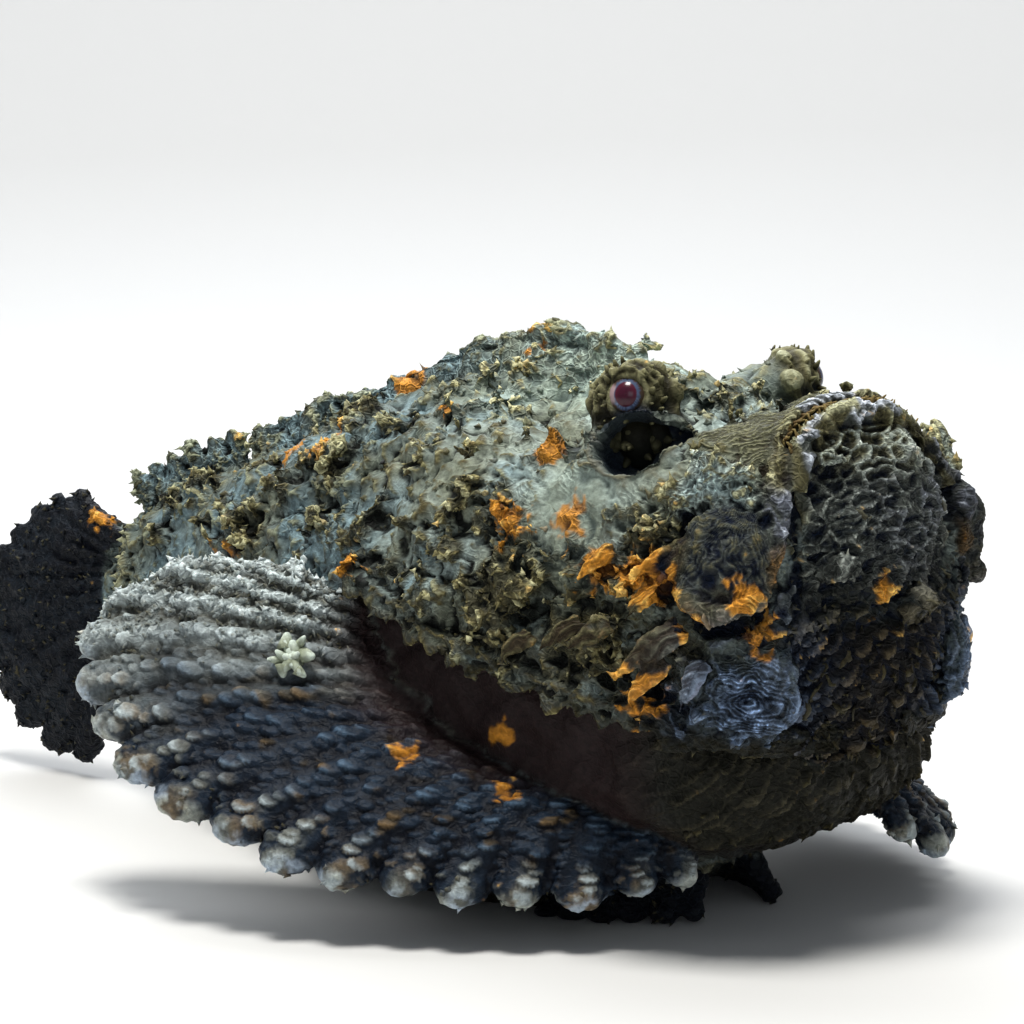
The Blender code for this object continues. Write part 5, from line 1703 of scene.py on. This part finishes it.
def papillae(name, skin, density, count, seed, tall, radius):
    """Small pointed warts that lean back a little, each bent its own way."""
    draw = np.random.default_rng(seed)
    roots = skin.scatter(density, count, seed)
    place, normal = skin.points[roots], skin.normals[roots]
    up = unit(normal + LEAN * 0.8 + 0.35 * draw.normal(0.0, 1.0, (count, 3)))
    bend = 0.35 * draw.normal(0.0, 1.0, (count, 3))
    across = np.cross(up, bend)
    across /= np.maximum(np.linalg.norm(across, axis=1, keepdims=True), 1e-6)
    over = np.cross(up, across)
    rise = draw.uniform(*tall, count)
    stout = draw.uniform(*radius, count)
    turn = circle(5)
    rings = []
    for level, width in ((-0.30, 1.9), (0.12, 1.15), (0.55, 0.58), (1.0, 0.10)):
        bent = bend * (rise * 0.35 * max(level, 0.0) ** 2)[:, None]
        middle = place + up * (rise * level)[:, None] + bent
        lobes = draw.uniform(0.75, 1.2, (count, len(turn), 1))
        out = (stout * width)[:, None, None] * lobes * around(turn, across, over)
        rings.append(middle[:, None] + out)
    light = tip_colour(skin.colour[roots], draw)
    base = skin.colour[roots]
    colour = np.stack([base, base, 0.5 * (flank_colour(base) + light), light], axis=1)[:, :, None]
    return tufts(name, skin, roots, np.stack(rings, axis=1), colour, 0.5 + 0.5 * np.cos(turn))


CONE = ((-0.5, 1.2), (0.0, 1.0), (0.35, 0.82), (0.7, 0.6), (0.93, 0.38), (1.0, 0.12))
EGG = ((-0.5, 0.15), (-0.38, 0.75), (0.0, 1.0), (0.42, 0.88), (0.80, 0.52), (1.0, 0.10))


def cirri(name, skin, places, directions, lengths, radii, colours, wide=6, profile=CONE):
    """Tapered fingers of skin at the given places."""
    places, directions = np.asarray(places), unit(np.asarray(directions))
    roots = skin.nearest(places)
    some = np.where(np.abs(directions[:, 2:3]) < 0.9, (0.0, 0.0, 1.0), (1.0, 0.0, 0.0))
    across = unit(np.cross(directions, some))
    over = np.cross(directions, across)
    turn = circle(wide)
    rings = []
    for level, width in profile:
        middle = places + directions * (np.asarray(lengths) * level)[:, None]
        out = (np.asarray(radii) * width)[:, None, None] * around(turn, across, over)
        rings.append(middle[:, None] + out)
    colour = blend(*colours, np.array([0.0, 0.1, 0.35, 0.7, 1.0, 1.0]))[:, None]
    return tufts(name, skin, roots, np.stack(rings, axis=1), colour, 0.5 + 0.5 * np.cos(turn))


FRINGE_TIP = (0.26, 0.20, 0.075)
FRINGES = ((-1.1, 1.0, 1.0, 70), (1.0, 1.5, -1.0, 60))  # towards the jaw, out, which way, how many


def lip_fringe(skin):
    """Combs of small fingers along both lips, which close over the mouth's gap."""
    draw = np.random.default_rng(SEED + 3)
    fingers = []
    for inwards, outwards, way, count in FRINGES:
        line, jawwards_all, out_all = mouth_line(inwards, outwards, count)
        for spot, jawwards, out in zip(sagged(line), jawwards_all, out_all):
            if spot[2] < 95.0:
                continue
            place = spot + draw.normal(0.0, 0.15, 3)
            turned = jawwards * way * 0.6 + out + draw.normal(0.0, 0.25, 3)
            fingers.append((place, turned, draw.uniform(0.9, 2.0)))
    radii = draw.uniform(0.30, 0.46, len(fingers))
    return cirri("lip_fringe", skin, *zip(*fingers), radii, (BROWN_TIP, FRINGE_TIP))


SPIKE_RINGS = (  # off the eye's axis, place along it, how many, length
    (4.9, 2.0, 11, 1.2),
    (6.6, -0.5, 13, 1.3),
    (7.6, -4.0, 13, 1.0),
)


def turret_spikes(skin):
    """Three rings of small spikes round each eye."""
    draw = np.random.default_rng(SEED + 4)
    spikes = []
    for _, side in SIDES:
        centre, facing, across, up = eye_axes(side)
        for ring, (out, forward, count, length) in enumerate(SPIKE_RINGS):
            for k in range(count):
                angle = 2 * np.pi * (k + 0.4 * ring) / count + draw.uniform(-0.2, 0.2)
                away = np.cos(angle) * across + np.sin(angle) * up
                way = away * 0.8 + facing * 0.5 + (0.0, 0.0, 0.5) + draw.normal(0.0, 0.2, 3)
                place = centre + away * out + facing * forward
                spikes.append((place, way, length * draw.uniform(0.4, 1.4)))
    places, ways, lengths = zip(*spikes)
    radii = np.asarray(lengths) * draw.uniform(0.34, 0.50, len(lengths))
    return cirri("turret_spikes", skin, places, ways, lengths, radii, (TURRET, TURRET_TIP))


TURRET_UNDERSIDE = (  # off the eye's middle, direction, length, radius
    ((0.8, -1.4, -7.6), (0.22, -0.05, -1.0), 7.2, 4.4),
    ((4.0, -3.6, -6.8), (0.50, -0.10, -1.0), 4.8, 2.8),
    ((-2.6, 0.8, -6.2), (-0.25, 0.05, -1.0), 4.6, 3.2),
)
TURRET_KNOBS = (
    ((-3.0, 3.2, -7.6), (-0.5, 0.6, -0.7), 3.6, 1.4),
    ((-4.2, 1.6, -4.4), (-0.8, 0.5, -0.3), 2.4, 1.2),
)


def turret_underside():
    """The knobbed underside of each turret, which hangs over the pit and is painted dark as shade."""
    draw = np.random.default_rng(SEED + 7)
    hanging, knobs = [], []
    for _, side in SIDES:
        centre = on_side(EYE_PLACE, side)
        for off, way, length, radius in TURRET_UNDERSIDE:
            middle = centre + on_side(off, side)
            hanging.append((middle, on_side(way, side), length, radius))
            for _ in range(14):
                away = unit(draw.normal(0.0, 1.0, 3) + 0.9 * on_side(EYE_FACING, side) - (0.0, 0.0, 0.6))
                spot = middle + away * radius * 0.85 - (0.0, 0.0, 0.25 * length)
                knobs.append((spot, away, draw.uniform(0.9, 2.0), draw.uniform(0.7, 1.5)))
        for off, way, length, radius in TURRET_KNOBS:
            knobs.append((centre + on_side(off, side), on_side(way, side), length, radius))
    return hanging, knobs


STAR = (2.0, 57.0, 51.0)


def star_tassel(skin):
    """A pale tassel with a few arms, on the upper part of each breast fin."""
    draw = np.random.default_rng(SEED + 5)
    tassel = []
    for _, side in SIDES:
        near = [index for _, index, _ in skin.tree.find_n(on_side(STAR, side), 500)]
        normal = unit(skin.normals[near].mean(axis=0) + 0.5 * on_side((0.3, 1.0, 0.3), side))
        root = skin.points[near].mean(axis=0) + 1.4 * normal
        across = unit(np.cross(normal, (0.0, 0.0, 1.0)))
        up = np.cross(across, normal)
        for k in range(6):
            angle = 2 * np.pi * k / 6 + draw.uniform(-0.25, 0.25)
            away = np.cos(angle) * across + np.sin(angle) * up
            for reach in (0.0, 1.5, 3.1):
                place = root + normal * 0.8 + away * reach + draw.normal(0.0, 0.2, 3)
                way = away + normal * draw.uniform(0.1, 0.9) + draw.normal(0.0, 0.4, 3)
                tassel.append((place, way, draw.uniform(1.6, 2.8), draw.uniform(0.9, 1.5)))
        tassel.append((root, normal, 2.4, 1.9))
    return cirri("star_tassels", skin, *zip(*tassel), (BACK_TIP, PALE), wide=7)


COAT_KEPT = {  # how much of the coat each kind of skin keeps
    "pit": 0.0, "root": 0.0, "throat": 0.05, "belly": 0.0, "fan": 0.02, "swirl": 0.08, "jaw": 0.04,
    "knob": 0.0, "pectoral": 0.0, "tail": 0.1, "chin": 0.05, "turret": 0.2, "lip": 0.1,
    "column": 0.1, "flap": 0.05, "snout": 0.3,
}


def build_coat(skin):
    """All the pieces of coat. The count and the seed follow the density in each line."""
    z = skin.zone
    folded = beside(skin.points)
    rough = step(12.0, 22.0, folded[:, 2])
    for name, kept in COAT_KEPT.items():
        rough *= 1.0 - (1.0 - kept) * z[name].clip(0.0, 1.0)
    rough *= 1.0 - 0.7 * bell(folded, CALM_CHEEK, 16.0)
    raised = step(0.2, 1.2, skin.height)
    lower = 1.0 + 1.5 * step(88.0, 66.0, folded[:, 2]) * z["cheek"]
    rim = z["pectoral"] * step(0.78, 0.92, skin.along)
    rear = z["pectoral"] * step(0.68, 0.85, skin.ray) * step(0.1, 0.25, skin.along)
    on_fins = rear + 0.10 * rim + 0.15 * z["tail"]
    hanging, knobs = turret_underside()
    # Painted shade: the turret's hanging underside and its knobs are painted darker than the turret.
    dark = 0.4 * np.array(TURRET)
    knob_colours = (dark, 0.3 * np.array(TURRET_TIP))
    return [
        cirri("turret_underside", skin, *zip(*hanging), (dark, HOLLOW_SHADE), wide=20, profile=EGG),
        cirri("turret_knobs", skin, *zip(*knobs), knob_colours, wide=9),
        frills("frills", skin, rough * raised * lower, 700, 61, (0.4, 1.1), (2.4, 5.0), thick=0.40),
        papillae("papillae", skin, rough * lower * (0.1 + raised), 4000, 64, (0.5, 1.5), (0.26, 0.52)),
        papillae("fin_papillae", skin, on_fins, 2600, 65, (0.5, 1.3), (0.30, 0.55)),
        lip_fringe(skin),
        turret_spikes(skin),
        star_tassel(skin),
    ]


# Materials


def linked(tree, kind, **values):
    """A new node with the settings and the inputs' values given."""
    node = tree.nodes.new(kind)
    for name, value in values.items():
        if hasattr(node, name):
            setattr(node, name, value)
        else:
            node.inputs[name.replace("_", " ")].default_value = value
    return node


def ranged(tree, value, low, high, to_low, to_high):
    """A value mapped from one range to another."""
    node = tree.nodes.new("ShaderNodeMapRange")
    numbers = {"From Min": low, "From Max": high, "To Min": to_low, "To Max": to_high}
    for socket, number in numbers.items():
        node.inputs[socket].default_value = number
    tree.links.new(value, node.inputs["Value"])
    return node.outputs["Result"]


def joined(tree, operation, first, second=None):
    """Two values, or a value and a number, put together."""
    node = tree.nodes.new("ShaderNodeMath")
    node.operation = operation
    tree.links.new(first, node.inputs[0])
    if isinstance(second, float):
        node.inputs[1].default_value = second
    elif second is not None:
        tree.links.new(second, node.inputs[1])
    return node.outputs[0]


def noise_at(tree, place, scale, detail, roughness):
    """A noise texture read at the place."""
    node = linked(tree, "ShaderNodeTexNoise", Scale=scale, Detail=detail, Roughness=roughness)
    tree.links.new(place, node.inputs["Vector"])
    return node.outputs


def layer_of(tree, name):
    """The numbers that the mesh keeps under a name."""
    return linked(tree, "ShaderNodeAttribute", attribute_name=name).outputs["Fac"]


def vector_at(tree, operation, first, numbers):
    """A vector put together with three numbers."""
    node = linked(tree, "ShaderNodeVectorMath", operation=operation)
    tree.links.new(first, node.inputs[0])
    node.inputs[1].default_value = numbers
    return node


def painted_material(name):
    """A new material, with its tree and its shader, coloured by the painted layer."""
    made = bpy.data.materials.new(name)
    made.use_nodes = True
    tree = made.node_tree
    painted = linked(tree, "ShaderNodeVertexColor", layer_name="Paint")
    return made, tree, tree.nodes["Principled BSDF"], painted.outputs["Color"]


SPECKS = (900.0, 4.0, 0.6)  # scale, detail and roughness of the skin's noises
GRAIN = (1500.0, 5.0, 0.7)
SWAY = (420.0, 3.0, 0.6)
WANDER = (300.0, 3.0, 0.6)
NET_SCALE = 460.0


def wrinkles(tree, sway, lines):
    """Fine wrinkles that follow the painted phase, as strong as the painted lines."""
    swayed = ranged(tree, sway, 0.0, 1.0, -1.1, 1.1)
    turned = joined(tree, "MULTIPLY", joined(tree, "ADD", layer_of(tree, "Phase"), swayed), 2 * math.pi)
    wave = ranged(tree, joined(tree, "COSINE", turned), -1.0, 1.0, 0.0, 1.0)
    return joined(tree, "MULTIPLY", joined(tree, "POWER", wave, 1.8), lines)


def fine_net(tree, place):
    """A net of fine crests, each with a line of painted shade on both sides."""
    wander = noise_at(tree, place, *WANDER)["Color"]
    shifted = vector_at(tree, "MULTIPLY_ADD", wander, (0.0022, 0.0022, 0.0022))
    tree.links.new(place, shifted.inputs[2])
    squeezed = vector_at(tree, "MULTIPLY", shifted.outputs["Vector"], (1.0, 0.85, 1.35))
    walls = linked(tree, "ShaderNodeTexVoronoi", feature="DISTANCE_TO_EDGE", Scale=NET_SCALE)
    tree.links.new(squeezed.outputs["Vector"], walls.inputs["Vector"])
    off = walls.outputs["Distance"]
    top = joined(tree, "POWER", ranged(tree, off, 0.0, 0.15, 1.0, 0.0), 1.4)
    near, far = ranged(tree, off, 0.05, 0.15, 0.0, 1.0), ranged(tree, off, 0.20, 0.40, 1.0, 0.0)
    # Painted shade: a darker line on both sides of each crest.
    crest_side_shade = joined(tree, "MULTIPLY", joined(tree, "MULTIPLY", near, far), 0.45)
    netted = joined(tree, "MULTIPLY", joined(tree, "SUBTRACT", top, crest_side_shade), layer_of(tree, "Net"))
    return joined(tree, "ADD", netted, 1.0)


def skin_material(name):
    """Painted skin: speckles and fine wrinkles over the painted colour, uneven gloss, fine grain."""
    made, tree, shader, painted = painted_material(name)
    shader.inputs["Specular IOR Level"].default_value = 0.10
    place = tree.nodes.new("ShaderNodeTexCoord").outputs["Object"]
    lines = layer_of(tree, "Lines")
    ridge = wrinkles(tree, noise_at(tree, place, *SWAY)["Fac"], lines)
    netted = fine_net(tree, place)
    specks = ranged(tree, noise_at(tree, place, *SPECKS)["Fac"], 0.3, 0.7, 0.66, 1.36)
    tone = joined(tree, "MULTIPLY", specks, netted)
    shade, dimmed = ranged(tree, ridge, 0.0, 1.0, 0.0, 1.6), ranged(tree, lines, 0.0, 1.0, 1.0, 0.55)
    tone = joined(tree, "MULTIPLY", tone, joined(tree, "ADD", shade, dimmed))
    mix = linked(tree, "ShaderNodeMix", data_type="RGBA", blend_type="MULTIPLY", Factor=1.0)
    tree.links.new(painted, mix.inputs[6])
    tree.links.new(tone, mix.inputs[7])
    tree.links.new(mix.outputs[2], shader.inputs["Base Color"])
    tree.links.new(ranged(tree, layer_of(tree, "Wet"), 0.0, 1.0, 0.62, 0.24), shader.inputs["Roughness"])
    grain = joined(tree, "MULTIPLY", noise_at(tree, place, *GRAIN)["Fac"], 0.55)
    standing = joined(tree, "ADD", grain, ridge)
    standing = joined(tree, "ADD", standing, joined(tree, "MULTIPLY", netted, 1.2))
    bump = linked(tree, "ShaderNodeBump", Strength=0.75, Distance=0.0005)
    tree.links.new(standing, bump.inputs["Height"])
    tree.links.new(bump.outputs["Normal"], shader.inputs["Normal"])
    return made


EYE_GLOSS = {"Specular IOR Level": 0.25, "Roughness": 0.20, "Coat Weight": 0.10, "Coat Roughness": 0.05}


def eye_material(name):
    """Wet, glossy, painted by the eye's own rings."""
    made, tree, shader, painted = painted_material(name)
    for socket, value in EYE_GLOSS.items():
        shader.inputs[socket].default_value = value
    tree.links.new(painted, shader.inputs["Base Color"])
    return made


PUPIL = (0.040, 0.006, 0.016)
IRIS = (0.070, 0.010, 0.020)
SILVER = (0.160, 0.220, 0.380)
PINK = (0.360, 0.250, 0.260)
SURROUND = (0.050, 0.034, 0.022)


def build_eye(side):
    """A ball with its iris painted by the distance off its own axis."""
    centre, facing, across, up = eye_axes(side)
    low = np.linspace(0.0, np.pi, 81)
    round_axis = around(circle(96), across, up)
    rings = centre + EYE_RADIUS * (
        np.sin(low)[:, None, None] * round_axis + np.cos(low)[:, None, None] * facing)
    points, triangles = closed_rings(rings)
    rest = points - centre
    u, v = rest @ across, rest @ up
    off = np.hypot(u / 2.15, v / 2.45)
    colour = ladder(off, PUPIL, PUPIL, IRIS)
    turn_round = np.arctan2(v, u)
    teeth = 0.5 + 0.5 * np.sin(23.0 * turn_round + 3.0 * np.sin(5.0 * turn_round))
    ring = step(0.97, 1.03, off) * step(1.42, 1.24, off + 0.12 * teeth)
    silver = np.array(SILVER) * (0.35 + 0.65 * teeth * step(0.3, -0.8, v / 3.0))[:, None]
    colour = blend(colour, SURROUND, step(1.05, 1.35, off))
    colour = blend(colour, silver, ring)
    backwards = -u * side / np.maximum(np.hypot(u, v), 0.01)
    spot = step(1.05, 1.12, off) * step(1.80, 1.55, off) * step(0.72, 0.92, backwards)
    colour = blend(colour, PINK, 0.85 * spot)
    return points, triangles, colour


def smooth(obj):
    """Shades the mesh smooth."""
    obj.data.polygons.foreach_set("use_smooth", np.ones(len(obj.data.polygons), bool))


# The scene round the fish


def look_at(obj, place, target):
    """Puts a camera or a light at a place and turns it to a target."""
    obj.location = place
    obj.rotation_euler = (Vector(target) - Vector(place)).to_track_quat("-Z", "Y").to_euler()


def area_light(name, place, target, size, power, colour):
    """A soft lamp."""
    light = bpy.data.lights.new(name, "AREA")
    light.shape = "RECTANGLE"
    light.size, light.size_y = size
    light.energy = power
    light.color = colour
    look_at(placed(name, light), place, target)


LIGHTS = (  # name, place, target, size, power, colour
    ("key", (0.12, -0.22, 1.10), (0.02, -0.02, 0.06), (0.32, 0.32), 15.5, (1.0, 0.98, 0.94)),
    ("ceiling", (-0.9, 0.9, 2.0), (-1.1, 1.1, 0.6), (2.4, 1.6), 46.0, (0.97, 0.98, 1.0)),
    ("rim", (-0.7, 0.6, 0.7), (0.0, 0.0, 0.08), (0.6, 0.6), 4.0, (0.86, 0.92, 1.0)),
    ("fill", (0.9, -0.7, 0.45), (0.05, 0.0, 0.05), (0.5, 0.5), 1.2, (0.88, 0.94, 1.0)),
)
SKY = (0.78, 0.83, 0.90, 1.0)
SKY_STRENGTH = 0.22
FLOOR_COLOUR = (0.62, 0.62, 0.61, 1.0)
LOOK_POINT = (3.5, 3.5, 75.7)
CAMERA_PLACE = (571.3, -564.3, 181.4)
CAMERA_LENS = 134.5
FLOOR_FRONT = 2.5
FLOOR_BACK = 0.9
FLOOR_HALF = 3.0
SWEEP_RADIUS = 0.9
WALL_HEIGHT = 2.6


def build_stage(shift):
    """The camera, the floor that rises into a wall behind the fish, and the light."""
    camera = bpy.data.cameras.new("camera")
    camera.lens = CAMERA_LENS
    camera.sensor_width = 36.0
    camera.clip_end = 30.0
    seen = placed("camera", camera)
    look_at(seen, (np.array(CAMERA_PLACE) + shift) * METRE, (np.array(LOOK_POINT) + shift) * METRE)
    bpy.context.scene.camera = seen
    turn = np.linspace(0.0, np.pi / 2, 25)
    run = np.concatenate([[-FLOOR_FRONT, FLOOR_BACK], FLOOR_BACK + SWEEP_RADIUS * np.sin(turn[1:])])
    rise = np.concatenate([[0.0, 0.0], SWEEP_RADIUS * (1.0 - np.cos(turn[1:]))])
    run, rise = np.append(run, run[-1]), np.append(rise, WALL_HEIGHT)
    away = np.array((-1.0, 1.0, 0.0)) / math.sqrt(2.0)
    aside = np.array((1.0, 1.0, 0.0)) / math.sqrt(2.0)
    edge = run[:, None] * away + rise[:, None] * (0.0, 0.0, 1.0)
    corners = np.concatenate([edge - aside * FLOOR_HALF, edge + aside * FLOOR_HALF])
    count = len(run)
    mesh = bpy.data.meshes.new("floor")
    squares = [(k, k + 1, count + k + 1, count + k) for k in range(count - 1)]
    mesh.from_pydata(corners.tolist(), [], squares)
    mesh.polygons.foreach_set("use_smooth", np.ones(count - 1, bool))
    floor = placed("floor", mesh)
    finish = bpy.data.materials.new("floor")
    finish.use_nodes = True
    shader = finish.node_tree.nodes["Principled BSDF"]
    shader.inputs["Base Color"].default_value = FLOOR_COLOUR
    shader.inputs["Roughness"].default_value = 0.85
    mesh.materials.append(finish)
    bpy.context.scene.view_settings.view_transform = "Standard"
    world = bpy.data.worlds.new("world")
    bpy.context.scene.world = world
    world.use_nodes = True
    sky = world.node_tree.nodes["Background"]
    sky.inputs["Color"].default_value = SKY
    sky.inputs["Strength"].default_value = SKY_STRENGTH
    for light in LIGHTS:
        area_light(*light)


def build_flesh():
    """All the shapes that the skin is fused from."""
    flesh = Flesh()
    head = build_head(flesh)
    trunk = build_trunk(flesh)
    build_mouth(flesh)
    build_lumps(flesh, head, *HEAD_LUMPS, head_density)
    build_lumps(flesh, trunk, *TRUNK_LUMPS, trunk_density)
    build_cheeks(flesh, surface_of(head))
    build_turrets(flesh)
    build_gill_edge(flesh, head)
    build_fins(flesh)
    return flesh


def add_skin_and_coat(flesh, shift):
    """The fused skin, painted and dressed, and the pieces of coat that stand on it."""
    points, faces, part, ray, along = fused(flesh)
    made, edges, zone, height, warts, painted_shade, phase, lines = dress_relief(
        points, faces, part, ray, along, flesh.names)
    fine, broad = standing_out(made, faces, edges)
    # The colour ladders paint low lift darker, which lays painted shade in the hollows of the relief.
    lift = (0.35 + 0.80 * fine + 0.20 * broad).clip(0.0, 1.0)
    colour = paint(made, lift, zone, ray, along, warts, painted_shade)
    print("skin", len(made), "points", len(faces), "triangles")
    coat = build_coat(Skin(made, faces, part, ray, along, zone, height, colour, flesh.names))
    skin = mesh_of("skin", made + shift, faces)
    colour_layer(skin.data, colour)
    wet = zone["pit"] + zone["swirl"] + 0.5 * zone["root"] + 0.4 * zone["jaw"]
    wet = (wet + 0.45 * zone["pectoral"] + 0.2).clip(0.0, 1.0)
    net = net_strength(zone, ray, along, made)
    for name, values in (("Wet", wet), ("Phase", phase), ("Lines", lines), ("Net", net)):
        value_layer(skin.data, name, values)
    smooth(skin)
    skin.data.materials.append(skin_material("stonefish_skin"))
    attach(skin, "root")
    flesh_nodes = [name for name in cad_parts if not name.startswith("eye_")]
    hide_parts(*flesh_nodes)
    for piece in coat:
        piece.data.transform(Matrix.Translation(shift * METRE))
        piece.data.materials.append(skin.data.materials[0])
        print(piece.name, len(piece.data.polygons), "triangles")
        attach(piece, "root")


def add_eyes(shift):
    """Both eyes, which stay pieces of their own."""
    for name, side in SIDES:
        ball, triangles, tint = build_eye(side)
        eye = mesh_of("eyeball_" + name, ball + shift, triangles)
        colour_layer(eye.data, tint)
        smooth(eye)
        eye.data.materials.append(eye_material("eye_" + name))
        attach(eye, "root")
        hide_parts("eye_" + name)


def shift_onto_solids():
    """How far the fish's own frame is moved, so that its right eye lies on the solid one."""
    low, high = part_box("eye_right")
    shift = np.array(((low + high) / 2) / METRE) - on_side(EYE_PLACE, -1)
    shift[2] = 0.0
    return shift


shift = shift_onto_solids()
add_skin_and_coat(build_flesh(), shift)
add_eyes(shift)
build_stage(shift)
